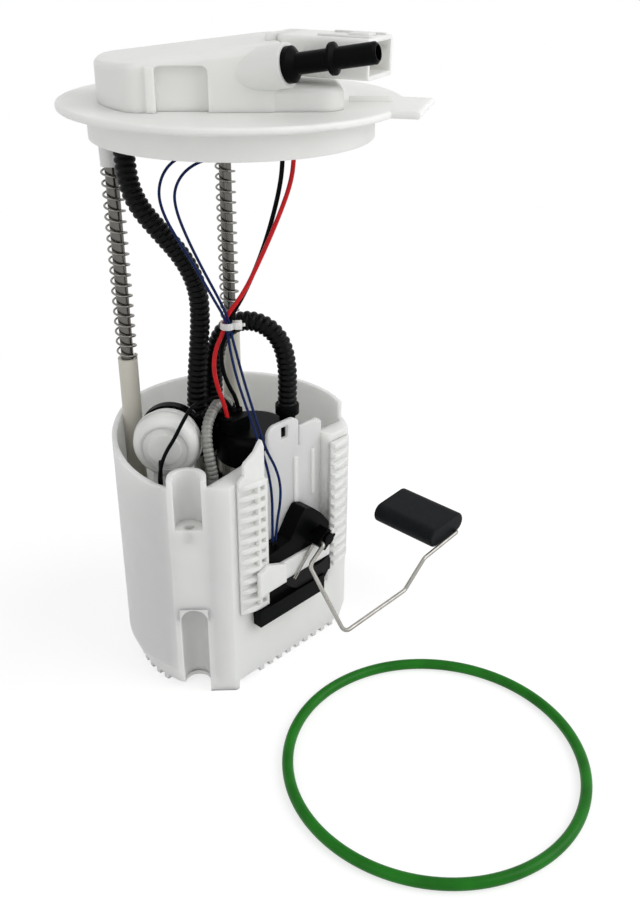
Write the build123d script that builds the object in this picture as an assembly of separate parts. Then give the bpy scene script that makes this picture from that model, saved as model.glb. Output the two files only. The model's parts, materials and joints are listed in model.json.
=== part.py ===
from build123d import *
import math
import os

os.makedirs("parts", exist_ok=True)

# Fuel pump module: a tank flange on two sprung rods over a fuel reservoir with its pump and level sender.
# Millimetres, Z up. The origin is on the flange axis at the sealing plane, and -Y faces out of the
# sender's side. Heights are measured from the surface that the reservoir stands on.
SEAT_HEIGHT = 274.5        # sealing plane of the flange
FIT = 0.05                 # radial play of a piece held in its seat
GAP = 0.3                  # air between pieces that move past or rest beside each other
CUT = 1.0                  # how far a cutter stands out of what it cuts
BEND_SHARE = 0.45          # part of a cord's straight run that each corner's arc may take

# Flange: disc, skirt and the hollow housing on top, which is turned about the axis
DISC_RADIUS = 72.5
DISC_THICK = 3.0
DISC_EDGE = 1.2
SKIRT_RADIUS = 60.4
SKIRT_WALL = 3.0
SKIRT_DEPTH = 11.5
SKIRT_KEY = 0.4                 # how far the skirt is let into the disc
FLANGE_TURN = -42.0
HOUSING_REACH = 55.5
HOUSING_RIGHT = 20.0
HOUSING_FRONT = -40.0
HOUSING_BACK = 16.0
HOUSING_LOW = 18.8
HOUSING_HIGH = 27.6
HOUSING_WALL = 2.5
HOUSING_CORNER = 7.0
HOUSING_ROUND = 2.5
HOLLOW_RIGHT = 2.0
RECESS_LEFT = -29.0
RECESS_RIGHT = -9.0
RECESS_DEPTH = 3.5
RECESS_ROOF = 1.8
RIB_WIDTH = 3.5
RIB_PROUD = 1.2
PEDESTAL_RIGHT = 44.0
PEDESTAL_BACK = -4.0
PEDESTAL_HEIGHT = 11.5
PEDESTAL_CORNER = 9.0
PEDESTAL_SET = 1.0         # how far the pedestal stands behind the housing's front
TAB_TURN = -15.0
TAB_REACH = 11.0
TAB_WIDTH = 40.0
TAB_SKEW = 2.5
DISC_RIB = (48.0, 66.0, -13.0)
DISC_RIB_SIZE = (2.5, 2.2)

# Fuel outlet: a quick-connect nipple in an inclined boss
NIPPLE_AT = (21.5, -42.0, 20.5)
NIPPLE_TURN = -30.0
NIPPLE_RISE = 10.0
NIPPLE_RADIUS = 4.0
NIPPLE_BORE = 2.6
NIPPLE_LENGTH = 37.0
NIPPLE_SHANK = 11.0
COLLAR_RADIUS = 6.7
COLLAR_LENGTH = 4.5
BEAD_RADIUS = 5.9
BEAD_AT = 17.2
BEAD_LENGTH = 3.6
NIPPLE_CHAMFER = 1.0
BOSS_RADIUS = 8.2
BOSS_LENGTH = 24.0
SEAL_SECTION = 0.9

# Electrical connector shell and its blades
PLUG_AT = (30.0, -16.0, 22.0)
PLUG_WIDTH = 24.0
PLUG_HEIGHT = 15.0
PLUG_LENGTH = 32.0
PLUG_ROOT = 12.0
PLUG_SPLIT = 7.0           # how far behind its root plane the shell parts from the housing
PLUG_WALL = 1.7
SOCKET_DEPTH = 20.0
BLADE_WIDTH = 2.8
BLADE_THICK = 0.8
BLADE_LENGTH = 14.0
BLADE_PITCH = 5.0
BLADE_COUNT = 4
INNER_PLUG_AT = (18.0, 4.0)
INNER_PLUG_SIZE = (26.0, 12.0, 15.0)
INNER_PLUG_ROUND = 1.5

# Guide rods, springs and tubes
ROD_PLACES = {"left": (-31.8, 45.3), "back": (27.1, 36.5)}
ROD_RADIUS = 3.0
ROD_SEAT = 5.0             # how far below the sealing plane a rod's top end sits
ROD_BOSS_RADIUS = 5.0
ROD_BOSS_FLARE = 0.4
ROD_BOSS_DROP = 27.5       # rod boss's end below the sealing plane
TUBE_RADIUS = 4.7
TUBE_NECK_BORE = 3.2
TUBE_BORE = 3.95
TUBE_NECK = 12.0
TUBE_TOP = 156.0
TUBE_SEAT = 3.0            # tube's lower end above the reservoir's inside floor
RING_RADIUS = 3.6
RING_THICK = 2.0
ROD_TAIL = 3.0
SPRING_RADIUS = 4.35
SPRING_WIRE = 0.9           # side of the wire's square section
SPRING_TURNS = 18
SPRING_EASE = 0.4
HOSE_BOSS_RADIUS = 6.5
HOSE_BOSS_DEPTH = 12.0

# Reservoir: a round cup with a flat sender side, a flat corner and a grooved pocket
CUP_X = -3.7
CUP_Y = 3.3
CUP_RADIUS = 58.0
CUP_WALL = 2.5
CUP_RIM = 128.0
CUP_FLOOR = 5.0
FLOOR_THICK = 3.0
CUP_TAPER = 3.2
CUP_TAPER_HEIGHT = 9.0
PANEL_Y = -33.0
CORNER_TURN = 226.6
CORNER_REACH = 50.4
FRONT_RIM = 117.4
RIM_SLOPE_BACK = 16.4
RIM_SLOPE_FRONT = -50.0
RIM_TURN = -51.4
POST_RIM = 121.7
RIGHT_RIM = 120.0
POCKET_SIDE = -19.6        # pocket's middle along the flat corner, from the corner's own middle
POCKET_RADIUS = 6.4
POCKET_DEPTH = 10.4
SHELF_HEIGHT = 95.0
ARCH_HEIGHT = 56.5
SHELF_HOLE = 2.3
SHELF_HOLE_DEPTH = 7.0
COLUMN_FROM = -1.0
COLUMN_TO = 13.2
COLUMN_DEPTH = 9.0
SOCKET_RADIUS = 6.2
SOCKET_HEIGHT = 34.0

# Sender side: recessed panel between two ladder rails
RAIL_LEFT = (-34.5, -18.5)
RAIL_RIGHT = (28.0, 41.0)
RAIL_BOTTOM = 45.0
RAIL_TOP = 116.0
RAIL_PROUD = 4.0
RAIL_LIP = 1.2             # a rail's thickness at its rounded side
RAIL_BULGE = 0.3           # share of the front's fall that is left at the middle of its curve
STRIP_WIDTH = 6.0          # flat strip with the slots, which overhangs the recess
RUNG_COUNT = 12
RUNG_THICK = 2.2
RUNG_DEPTH = 2.6
SLOT_HEIGHT = 2.6
SLOT_EDGE = 1.5
FIN_TIP = 135.5
FIN_THICK = 2.0
FIN_SHAPE = [(0.0, 0.0), (0.0, 0.12), (0.22, 0.26), (0.22, 0.5), (0.3, 0.58), (0.4, 0.62), (0.66, 0.75),
             (0.82, 0.92), (0.92, 1.0), (1.0, 0.82), (1.0, 0.0)]
RECESS_Y = -27.0
RECESS_WALL = 2.2
RECESS_FLOOR = 33.5
PANEL_TOP = 134.0
PANEL_RIGHT_TOP = 128.0
PANEL_ROUND = 5.0
LEAD_GATE = 10.5           # width of the gap that the sender's leads pass through
LEAD_GATE_SILL = 112.0
TAB_HOLE = (2.8, 128.4)
TAB_HOLE_SIZE = (4.8, 6.4)
TAB_SLIT = (12.6, 118.0, 1.2)
PANEL_RIBS = (9.0, 21.0)
PANEL_RIB_SIZE = (1.6, 1.2)
PANEL_RIB_BOTTOM = 88.0

# Foot plate with its toothed edge, valve and strainer
FOOT_INSET = 4.5
TOOTH_HEIGHT = 2.6
TOOTH_WIDTH = 2.8
TOOTH_LENGTH = 7.0
TOOTH_STEP = 6.5
TEETH_FROM = -32.0
TEETH_SPAN = 228.0
FOOT_WINDOW = 14.0
VALVE_AT = (5.0, 0.0)
VALVE_RADIUS = 8.0
VALVE_LIP = 1.2
VALVE_STEM = 2.0
VALVE_BULB = 1.6
VALVE_PORT_AT = 5.0
VALVE_PORT = 1.5
VALVE_PORTS = 4
STRAINER_THICK = 0.8
STRAINER_LIP = 1.8

# Pump
PUMP_X = 5.0
PUMP_Y = -3.0
PUMP_RADIUS = 18.5
PUMP_WALL = 1.2
PUMP_BOTTOM = 22.0
PUMP_CAN_TOP = 108.0
PUMP_CAP_TOP = 124.0
CAP_ROUND = 4.0
INLET_COVER = 9.0
INLET_PORT_AT = 12.0
INLET_PORT = 2.0
MAGNET_THICK = 4.0
MAGNET_SPAN = 140.0
ARMATURE_RADIUS = 12.0
ARMATURE_CORE = 7.2
ARMATURE_SLOTS = 8
COMMUTATOR_RADIUS = 6.6
ARMATURE_BOTTOM = 44.0
ARMATURE_TOP = 86.0
SHAFT_RADIUS = 1.5
SHAFT_FIT = 0.04
IMPELLER_RADIUS = 15.0
IMPELLER_THICK = 4.0
IMPELLER_VANES = 24
VANE_FROM = 12.3
VANE_SLOT = 2.0
SLEEVE_WALL = 1.8
SLEEVE_BOTTOM = 14.0
SLEEVE_TOP = 100.0
SLEEVE_FEET = 4
OUTLET_STUB_AT = (14.5, -9.0)
OUTLET_STUB_RADIUS = 4.0
JET_STUB_AT = (-4.0, 13.5)
JET_STUB_RADIUS = 2.6
STUB_HEIGHT = 4.0
LEAD_PLUG_AT = (-10.5, 2.5)
LEAD_PLUG_SIZE = (14.0, 9.0, 7.0)
LEAD_PLUG_ROUND = 1.2

# Filter drum, its strap, stand and manifold
DRUM_AT = (-27.3, 20.5)     # point on the drum's axis that its own lengths are measured from
DRUM_TURN = 40.0
DRUM_HEIGHT = 122.8
DRUM_RADIUS = 14.0
DRUM_CAP_RADIUS = 16.0
DRUM_LEFT = -18.0
DRUM_RIGHT = 5.5
DRUM_WALL = 1.8
DRUM_STEP = 2.0
DRUM_CAP_AT = -9.0
DRUM_DOME = 5.0
DRUM_HUB = 8.0
DRUM_NECK = 6.0
STRAP_AT = -2.5
STRAP_WIDTH = 4.5
STRAP_THICK = 1.3
BUCKLE_SIZE = (6.0, 8.0, 4.5)
BUCKLE_TURN = 25.0
STAND_X = (-15.0, 5.5)
STAND_Y = (-7.0, 7.0)
STAND_RIB = 3.0
MANIFOLD_LEFT = -17.5
MANIFOLD_RIGHT = 7.0
MANIFOLD_FRONT = 16.0
MANIFOLD_BACK = 27.0
MANIFOLD_ROUND = 2.0
MANIFOLD_BOTTOM = 106.0
MANIFOLD_TOP = 120.0
REGULATOR_RADIUS = 7.0
REGULATOR_DROP = 22.0
REGULATOR_AT = (-5.0, 21.5)
REGULATOR_ROUND = 2.0
ELEMENT_RADIUS = 10.5
ELEMENT_BORE = 4.0
JET_PUMP_AT = (-27.0, -8.5)
JET_PUMP_SIZE = (12.0, 10.0, 12.0)
JET_PUMP_SET_BACK = 7.0
JET_PUMP_TOP = 40.0
JET_PUMP_WALL = 1.0

# Level sender: housing in the recess, white bracket across it, rotor, wire arm and float
SENDER_FRONT = -36.0
SENDER_POINTS = [(-18.0, 34.5), (-18.0, 72.0), (-3.0, 74.0), (3.3, 83.4), (7.5, 88.2), (13.2, 86.1),
                 (19.6, 80.2), (25.0, 73.0), (25.0, 43.0), (20.5, 38.0), (15.0, 34.5)]
SENDER_BACK_LEFT = (-24.0, 36.0, 70.0)
SENDER_BAR = (-26.0, 19.5)
SENDER_BAR_FRONT = -38.5
SENDER_BAR_SPAN = (35.0, 44.5)
SENDER_ROUND = 1.5
PIVOT_X = 15.4
PIVOT_Z = 70.9
PIVOT_RADIUS = 2.0
PIVOT_FIT = 0.06
PIVOT_REACH = -45.6
BRACKET_FRONT = -37.7
BRACKET_LEFT = -26.5
BRACKET_RIGHT = 24.0
BRACKET_LOW = 54.5
BRACKET_HIGH = 65.0
BRACKET_END_LOW = 54.0
BRACKET_END_HIGH = 69.5
BRACKET_LUG_FRONT = -39.5
BRACKET_LUG_RIGHT = -9.0
BRACKET_HOOK = 6.0
BRACKET_SLOPE = 3.0
CARD_FRONT = -37.4
CARD_RADII = (19.0, 30.0)
CARD_SPAN = (214.0, 296.0)
ROTOR_BACK = -38.1
ROTOR_FRONT = -44.4
ROTOR_POINTS = [(7.4, 70.6), (13.2, 64.6), (21.2, 70.8), (15.8, 76.6)]
ROTOR_ROUND = 0.8
WIPER_THICK = 0.4
WIPER_WIDTH = 3.0
WIPER_REACH = 26.0
WIPER_TURN = 226.0
CLIP_RADIUS = 3.1
CLIP_THICK = 0.8
WIRE_RADIUS = 1.1
WIRE_BEND = 4.0
WIRE_END_BEND = 1.6
WIRE_POINTS = [(10.6, -39.0, 70.4), (10.6, -46.2, 70.4), (0.2, -46.2, 62.6), (5.1, -66.0, 29.6),
               (52.3, -66.0, 31.0), (68.0, -66.0, 43.9), (97.0, -66.0, 47.5), (97.0, -46.0, 47.5)]
FLOAT_CENTRE = (89.5, 50.9)
FLOAT_NEAR = -64.3
FLOAT_FAR = -24.0
FLOAT_WIDTH = 29.0
FLOAT_THICK = 11.5
FLOAT_TILT = 5.0
FLOAT_EDGE = 1.2

# Loose tank seal beside the module
SEAL_AT = (-9.6, -136.4)
SEAL_RADIUS = 68.0
SEAL_CORD = 2.6

# Hoses and leads, by the points of their routes: X, Y and height. What hangs from the flange is drawn for
# HANGING_FROM, and its points above the anchor follow the flange when the sealing plane moves.
HANGING_FROM = 274.5
LEAD_ANCHOR = 131.3
HOSE_ANCHOR = 120.3
HOSE_RADIUS = 4.75
HOSE_BORE = 3.0
JET_TUBE_RADIUS = 2.7
POWER_LEAD_RADIUS = 1.05
SENDER_LEAD_RADIUS = 0.65
BOND_LEAD_RADIUS = 0.9
SUPPLY_ROUTE = [(-34.6, 31.1, 262.2), (-34.9, 31.3, 247.0), (-32.0, 28.8, 233.0), (-24.0, 24.2, 220.5),
                (-14.6, 19.6, 207.0), (-9.2, 17.2, 192.5), (-8.2, 17.6, 178.0), (-9.2, 18.6, 163.0),
                (-11.0, 19.3, 146.0), (-12.0, 19.5, 131.0), (-12.0, 19.5, 120.3)]
PUMP_ROUTE = [(0.5, 21.0, 120.3), (0.6, 21.2, 132.0), (0.9, 20.7, 146.0), (1.6, 19.4, 158.0),
              (3.6, 16.2, 167.4), (7.4, 10.0, 173.4), (12.2, 2.2, 174.6), (16.8, -5.2, 170.6),
              (19.6, -9.8, 162.6), (20.4, -11.6, 151.0), (19.8, -12.0, 139.0), (19.5, -12.0, 128.3)]
RED_ROUTE = [(22.5, -14.2, 259.2), (22.0, -15.0, 251.5), (19.5, -15.2, 240.5), (13.8, -12.6, 225.5),
             (6.6, -8.2, 207.5), (-0.3, -3.9, 192.0), (-7.2, 0.2, 178.4), (-11.6, 3.6, 167.0),
             (-13.4, 3.9, 157.0), (-12.6, 2.0, 147.0), (-11.2, -0.8, 138.6), (-10.6, -2.0, 131.3)]
BLACK_ROUTE = [(18.8, -10.8, 259.2), (19.0, -11.2, 250.0), (17.0, -9.8, 234.4), (10.8, -6.4, 211.4),
               (2.4, -1.9, 191.0), (-5.2, 1.6, 178.0), (-7.2, 5.0, 165.5), (-6.6, 5.4, 154.0),
               (-3.6, 4.2, 144.4), (-0.8, 2.6, 138.0), (0.2, 2.0, 131.3)]
BLUE_A_ROUTE = [(10.6, -3.4, 259.2), (8.4, -2.4, 253.6), (1.8, 1.2, 250.2), (-8.0, 6.2, 252.6),
                (-18.0, 11.0, 255.0), (-26.4, 13.8, 250.4), (-30.4, 15.2, 241.2), (-29.4, 14.0, 231.2),
                (-25.0, 10.4, 219.5), (-19.4, 5.6, 206.5), (-13.6, 1.6, 192.0), (-9.0, -1.2, 178.2),
                (-9.6, -4.2, 167.0), (-10.4, -9.0, 155.0), (-11.4, -16.0, 143.3), (-12.6, -22.6, 134.0),
                (-13.2, -28.4, 124.5), (-11.6, -31.0, 112.5), (-10.8, -32.0, 100.0), (-11.2, -32.2, 87.0),
                (-11.4, -32.4, 73.6)]
BLUE_B_ROUTE = [(14.2, -6.8, 259.2), (12.6, -6.6, 254.0), (6.0, -3.8, 251.0), (-3.0, 0.4, 252.4),
                (-12.0, 4.8, 253.0), (-20.0, 9.4, 248.6), (-24.4, 11.6, 241.0), (-24.2, 11.6, 232.6),
                (-21.2, 9.0, 220.5), (-16.4, 4.9, 205.8), (-10.8, 0.6, 191.0), (-7.2, -2.4, 177.6),
                (-7.2, -6.2, 164.5), (-8.0, -11.4, 153.4), (-9.2, -17.8, 142.5), (-10.4, -23.6, 133.4),
                (-10.6, -28.4, 124.0), (-7.4, -31.0, 115.4), (-5.6, -32.4, 106.0), (-6.2, -32.8, 96.0),
                (-8.6, -32.6, 86.0), (-9.6, -32.4, 73.8)]
JET_ROUTE = [(1.0, 10.5, 128.3), (0.6, 10.4, 133.2), (-4.1, 9.4, 136.0), (-10.4, 6.2, 136.6),
             (-16.8, 3.0, 134.9), (-21.4, 0.5, 131.9), (-24.5, -2.2, 128.6), (-26.0, -4.2, 123.7),
             (-26.4, -5.8, 118.0), (-26.3, -7.3, 112.0), (-26.3, -8.2, 104.0), (-26.6, -8.4, 88.0),
             (-27.0, -8.5, 66.0), (-27.0, -8.5, 40.3)]
BOND_ROUTE = [(-44.0, 9.0, 117.6), (-46.8, 6.8, 114.4), (-46.4, 4.4, 118.0), (-43.6, 3.4, 123.0),
              (-40.6, 1.9, 130.4), (-35.8, 0.6, 138.6), (-31.0, 0.8, 143.0), (-26.0, 1.9, 143.8),
              (-19.6, 2.4, 143.2), (-12.0, 3.6, 142.2), (-6.0, 4.2, 138.6), (-2.8, 2.8, 131.3)]
TIE_AT = (-7.0, -0.3, 177.9)
TIE_RADIUS = 5.6
TIE_WIDTH = 3.6
TIE_THICK = 1.0
TIE_HEAD = 5.0


def up(height):
    """Z of a height above the surface that the reservoir stands on."""
    return height - SEAT_HEIGHT


def cyl(radius, low, high, place=(0.0, 0.0)):
    """Upright cylinder between two heights."""
    base = Cylinder(radius, high - low, align=(Align.CENTER, Align.CENTER, Align.MIN))
    return Pos(place[0], place[1], up(low)) * base


def pipe(outer, inner, low, high, place=(0.0, 0.0)):
    """Upright tube between two heights."""
    return cyl(outer, low, high, place) - cyl(inner, low - CUT, high + CUT, place)


def block(x_span, y_span, low, high):
    """Box between two X, two Y and two heights."""
    size = (x_span[1] - x_span[0], y_span[1] - y_span[0], high - low)
    return Pos(x_span[0], y_span[0], up(low)) * Box(*size, align=(Align.MIN, Align.MIN, Align.MIN))


def front_plate(points, front, back):
    """Plate whose outline is given in X and height, between two Y values."""
    face = make_face(Polyline(*[(x, up(height)) for x, height in points], close=True))
    return extrude(Plane.XZ.offset(-back) * face, back - front)


def rod_y(radius, x, height, front, back):
    """Cylinder along Y."""
    return Plane((x, front, up(height)), z_dir=(0, 1, 0)) * Cylinder(
        radius, back - front, align=(Align.CENTER, Align.CENTER, Align.MIN))


def rod_x(radius, left, right, y, height):
    """Cylinder along X."""
    return Plane((left, y, up(height)), z_dir=(1, 0, 0)) * Cylinder(
        radius, right - left, align=(Align.CENTER, Align.CENTER, Align.MIN))


def bend_radii(points):
    """The largest arc that each corner's two runs leave room for."""
    radii = []
    for before, here, after in zip(points, points[1:], points[2:]):
        into = Vector(*here) - Vector(*before)
        out = Vector(*after) - Vector(*here)
        half_turn = math.radians(into.get_angle(out)) / 2
        radii.append(BEND_SHARE * min(into.length, out.length) / math.tan(half_turn))
    return radii


def cord(name, route, radius, bore=0.0):
    """Round cord or hose along straight runs joined by tangent arcs."""
    points = [(x, y, up(height)) for x, y, height in route]
    radii = bend_radii(points)
    path = FilletPolyline(*points, radius=radii)
    start = Plane(path @ 0, z_dir=path % 0)
    section = Circle(radius) - Circle(bore) if bore else Circle(radius)
    tube = sweep(start * section, path=path)
    ideal = math.pi * (radius ** 2 - bore ** 2) * path.length
    ratio = tube.volume / ideal
    print(f"{name}: length {path.length:.1f}, tightest bend {min(radii):.1f}, volume ratio {ratio:.4f}")
    return tube


def hung(height, anchor):
    """Height on something that hangs from the flange: points above the anchor follow the sealing plane."""
    share = max(height - anchor, 0.0) / (HANGING_FROM - anchor)
    return height + share * (SEAT_HEIGHT - HANGING_FROM)


def hung_route(route, anchor):
    """Route of a hanging cord, its upper end kept at its distance below the sealing plane."""
    drop = HANGING_FROM - route[0][2]
    top = SEAT_HEIGHT - drop
    stretch = (top - anchor) / (route[0][2] - anchor)
    return [(x, y, anchor + (height - anchor) * stretch if height > anchor else height)
            for x, y, height in route]


# Flange

def turned(solid):
    """From the housing's own directions to the module's."""
    return Rot(0, 0, FLANGE_TURN) * solid


def housing(inset, front, right, base):
    """Housing on the disc: a round end, flat sides and a roof that rises towards the outlet."""
    width = HOUSING_BACK - inset - front
    band = Pos(right - HOUSING_REACH, front + width / 2) * Rectangle(2 * HOUSING_REACH, width)
    outline = Circle(HOUSING_REACH - inset) & band
    outline = fillet(outline.vertices(), HOUSING_CORNER - inset)
    left = -HOUSING_REACH
    side = make_face(Polyline((left, base), (HOUSING_RIGHT, base), (HOUSING_RIGHT, HOUSING_HIGH - inset),
                              (left, HOUSING_LOW - inset), close=True))
    slab = extrude(Plane.XZ * side, HOUSING_REACH, both=True)
    return extrude(Pos(0, 0, base) * outline, HOUSING_HIGH - base + CUT) & slab


def nipple_plane():
    """Plane at the nipple's collar, its Z along the outlet."""
    turn = math.radians(NIPPLE_TURN)
    rise = math.radians(NIPPLE_RISE)
    way = (math.cos(turn) * math.cos(rise), math.sin(turn) * math.cos(rise), math.sin(rise))
    return Plane(NIPPLE_AT, z_dir=way)


def plug_plane():
    """Plane at the connector shell's root, its Z out of the socket and its X level."""
    turn = math.radians(NIPPLE_TURN)
    across = (-math.sin(turn), math.cos(turn), 0)
    return Plane(PLUG_AT, x_dir=across, z_dir=(math.cos(turn), math.sin(turn), 0))


def plug_prism():
    """Space that the connector's shell takes up in front of the housing."""
    return plug_plane() * Pos(0, 0, -PLUG_SPLIT) * Box(
        PLUG_WIDTH + 2 * CUT, PLUG_HEIGHT + 2 * CUT, PLUG_SPLIT + PLUG_LENGTH + CUT,
        align=(Align.CENTER, Align.CENTER, Align.MIN))


def make_flange():
    """Whole flange moulding, which is parted below into its disc, skirt, housing and connector shell."""
    disc = Cylinder(DISC_RADIUS, DISC_THICK, align=(Align.CENTER, Align.CENTER, Align.MIN))
    edge = TAB_REACH + DISC_RADIUS
    tab = make_face(Polyline((HOUSING_REACH, -TAB_WIDTH / 2), (edge - TAB_SKEW, -TAB_WIDTH / 2),
                             (edge, TAB_WIDTH / 2 - TAB_SKEW), (HOUSING_REACH, TAB_WIDTH / 2), close=True))
    disc = disc + Rot(0, 0, TAB_TURN) * extrude(tab, DISC_THICK)
    rim = disc.edges().filter_by(lambda e: abs(e.center().Z - DISC_THICK) < FIT or abs(e.center().Z) < FIT)
    disc = fillet(rim, DISC_EDGE)
    shell = housing(0.0, HOUSING_FRONT, HOUSING_RIGHT, 0.0)
    shell = fillet(shell.faces().sort_by(Axis.Z)[-1].edges(), HOUSING_ROUND)
    pedestal = Pos((HOUSING_RIGHT + PEDESTAL_RIGHT) / 2 - PEDESTAL_CORNER / 2,
                   (HOUSING_FRONT + PEDESTAL_BACK) / 2 + PEDESTAL_SET) * Box(
        PEDESTAL_RIGHT - HOUSING_RIGHT + PEDESTAL_CORNER, PEDESTAL_BACK - HOUSING_FRONT, PEDESTAL_HEIGHT,
        align=(Align.CENTER, Align.CENTER, Align.MIN))
    pedestal = fillet(pedestal.edges().filter_by(Axis.Z).sort_by(Axis.X)[-2:], PEDESTAL_CORNER)
    pedestal = fillet(pedestal.faces().sort_by(Axis.Z)[-1].edges(), HOUSING_ROUND)
    body = disc + shell + pedestal
    roof = HOUSING_LOW - RECESS_ROOF
    window = Pos(RECESS_LEFT, HOUSING_FRONT - CUT, DISC_THICK) * Box(
        RECESS_RIGHT - RECESS_LEFT, RECESS_DEPTH + CUT, roof, align=(Align.MIN, Align.MIN, Align.MIN))
    window = fillet(window.faces().sort_by(Axis.Z)[-1].edges().filter_by(Axis.Y), HOUSING_ROUND)
    rib = Pos(RECESS_LEFT - RIB_WIDTH, HOUSING_FRONT - RIB_PROUD, 0) * Box(
        RIB_WIDTH, RECESS_DEPTH, roof + DISC_THICK, align=(Align.MIN, Align.MIN, Align.MIN))
    body = body - window + rib
    boss = nipple_plane() * Pos(0, 0, -BOSS_LENGTH) * Cylinder(
        BOSS_RADIUS, BOSS_LENGTH, align=(Align.CENTER, Align.CENTER, Align.MIN))
    connector = Pos(0, 0, -PLUG_ROOT) * Box(PLUG_WIDTH, PLUG_HEIGHT, PLUG_ROOT + PLUG_LENGTH,
                                            align=(Align.CENTER, Align.CENTER, Align.MIN))
    connector = fillet(connector.edges().filter_by(Axis.Z), PLUG_WALL)
    body = body + boss + plug_plane() * connector
    hollow_front = HOUSING_FRONT + HOUSING_WALL + RECESS_DEPTH
    body = body - housing(HOUSING_WALL, hollow_front, HOLLOW_RIGHT, -CUT)
    socket = plug_plane() * Pos(0, 0, PLUG_LENGTH - SOCKET_DEPTH) * Box(
        PLUG_WIDTH - 2 * PLUG_WALL, PLUG_HEIGHT - 2 * PLUG_WALL, SOCKET_DEPTH + CUT,
        align=(Align.CENTER, Align.CENTER, Align.MIN))
    shank = nipple_plane() * Pos(0, 0, -NIPPLE_SHANK) * Cylinder(
        NIPPLE_RADIUS + FIT, NIPPLE_SHANK + CUT, align=(Align.CENTER, Align.CENTER, Align.MIN))
    passage = nipple_plane() * Pos(0, 0, -BOSS_LENGTH - CUT) * Cylinder(
        NIPPLE_BORE, BOSS_LENGTH, align=(Align.CENTER, Align.CENTER, Align.MIN))
    body = body - socket - shank - passage
    body = turned(body)
    skirt_top = SEAT_HEIGHT + DISC_THICK / 2
    body = body + pipe(SKIRT_RADIUS, SKIRT_RADIUS - SKIRT_WALL, SEAT_HEIGHT - SKIRT_DEPTH, skirt_top)
    for place in ROD_PLACES.values():
        boss_height = skirt_top - rod_boss_bottom()
        cone = Pos(*place, -ROD_BOSS_DROP) * Cone(
            ROD_BOSS_RADIUS - ROD_BOSS_FLARE, ROD_BOSS_RADIUS, boss_height,
            align=(Align.CENTER, Align.CENTER, Align.MIN))
        body = body + cone
    for place in ROD_PLACES.values():
        body = body - cyl(ROD_RADIUS + FIT, rod_boss_bottom() - CUT, SEAT_HEIGHT - ROD_SEAT, place)
    hose_place = SUPPLY_ROUTE[0][:2]
    return body + cyl(HOSE_BOSS_RADIUS, SEAT_HEIGHT - HOSE_BOSS_DEPTH, skirt_top, hose_place)


def rod_boss_bottom():
    """Height of the rod bosses' lower ends."""
    return SEAT_HEIGHT - ROD_BOSS_DROP


def skirt_ring():
    return pipe(SKIRT_RADIUS, SKIRT_RADIUS - SKIRT_WALL, SEAT_HEIGHT - SKIRT_DEPTH, SEAT_HEIGHT + SKIRT_KEY)


def above_disc():
    """Everything above the disc's upper face."""
    return Pos(0, 0, DISC_THICK) * Box(4 * DISC_RADIUS, 4 * DISC_RADIUS, 2 * DISC_RADIUS,
                                       align=(Align.CENTER, Align.CENTER, Align.MIN))


def make_flange_disc(flange):
    low, high, across = DISC_RIB
    wide, proud = DISC_RIB_SIZE
    rib = Pos(low, across, DISC_THICK / 2) * Box(high - low, wide, DISC_THICK / 2 + proud,
                                                 align=(Align.MIN, Align.CENTER, Align.MIN))
    return flange - above_disc() - skirt_ring() + turned(rib)


def make_flange_housing(flange):
    return (flange & above_disc()) - turned(plug_prism())


def make_connector_shell(flange):
    return flange & turned(plug_prism())


def make_outlet_nipple():
    """Black outlet tube: shank in the boss, collar, bead and a plain end for the line's coupler."""
    bead_end = BEAD_AT + BEAD_LENGTH
    profile = Polyline((NIPPLE_BORE, -NIPPLE_SHANK), (NIPPLE_RADIUS, -NIPPLE_SHANK), (NIPPLE_RADIUS, 0),
                       (COLLAR_RADIUS, 0), (COLLAR_RADIUS, COLLAR_LENGTH / 2), (NIPPLE_RADIUS, COLLAR_LENGTH),
                       (NIPPLE_RADIUS, BEAD_AT), (BEAD_RADIUS, BEAD_AT + BEAD_LENGTH / 3),
                       (BEAD_RADIUS, bead_end - BEAD_LENGTH / 3), (NIPPLE_RADIUS, bead_end),
                       (NIPPLE_RADIUS, NIPPLE_LENGTH - NIPPLE_CHAMFER),
                       (NIPPLE_RADIUS - NIPPLE_CHAMFER, NIPPLE_LENGTH),
                       (NIPPLE_BORE, NIPPLE_LENGTH), close=True)
    tube = revolve(Plane.XZ * make_face(profile), Axis.Z)
    groove = Pos(0, 0, -NIPPLE_SHANK / 2) * Torus(NIPPLE_RADIUS, SEAL_SECTION)
    return turned(nipple_plane() * (tube - groove))


def make_nipple_seal():
    ring = Torus(NIPPLE_RADIUS - SEAL_SECTION / 2, SEAL_SECTION / 2 - FIT)
    return turned(nipple_plane() * Pos(0, 0, -NIPPLE_SHANK / 2) * ring)


def make_terminals():
    """Four blades that stand on the socket's floor."""
    blades = []
    for index in range(BLADE_COUNT):
        across = (index - (BLADE_COUNT - 1) / 2) * BLADE_PITCH
        blade = Pos(across, 0, PLUG_LENGTH - SOCKET_DEPTH) * Box(
            BLADE_WIDTH, BLADE_THICK, BLADE_LENGTH, align=(Align.CENTER, Align.CENTER, Align.MIN))
        blades.append(turned(plug_plane() * blade))
    return Compound(children=blades)


def make_inner_plug():
    """Plug under the disc that the module's own leads leave from."""
    width, depth, drop = INNER_PLUG_SIZE
    shell = Box(width, depth, drop, align=(Align.CENTER, Align.CENTER, Align.MAX))
    return turned(Pos(*INNER_PLUG_AT, 0) * fillet(shell.edges().filter_by(Axis.Z), INNER_PLUG_ROUND))


def ring_top():
    """Height of a rod's stop ring, which waits just under its tube's neck."""
    return TUBE_TOP - TUBE_NECK - GAP


def make_guide_rod(side):
    low = ring_top() - RING_THICK - ROD_TAIL
    return cyl(ROD_RADIUS, low, SEAT_HEIGHT - ROD_SEAT, ROD_PLACES[side])


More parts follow.
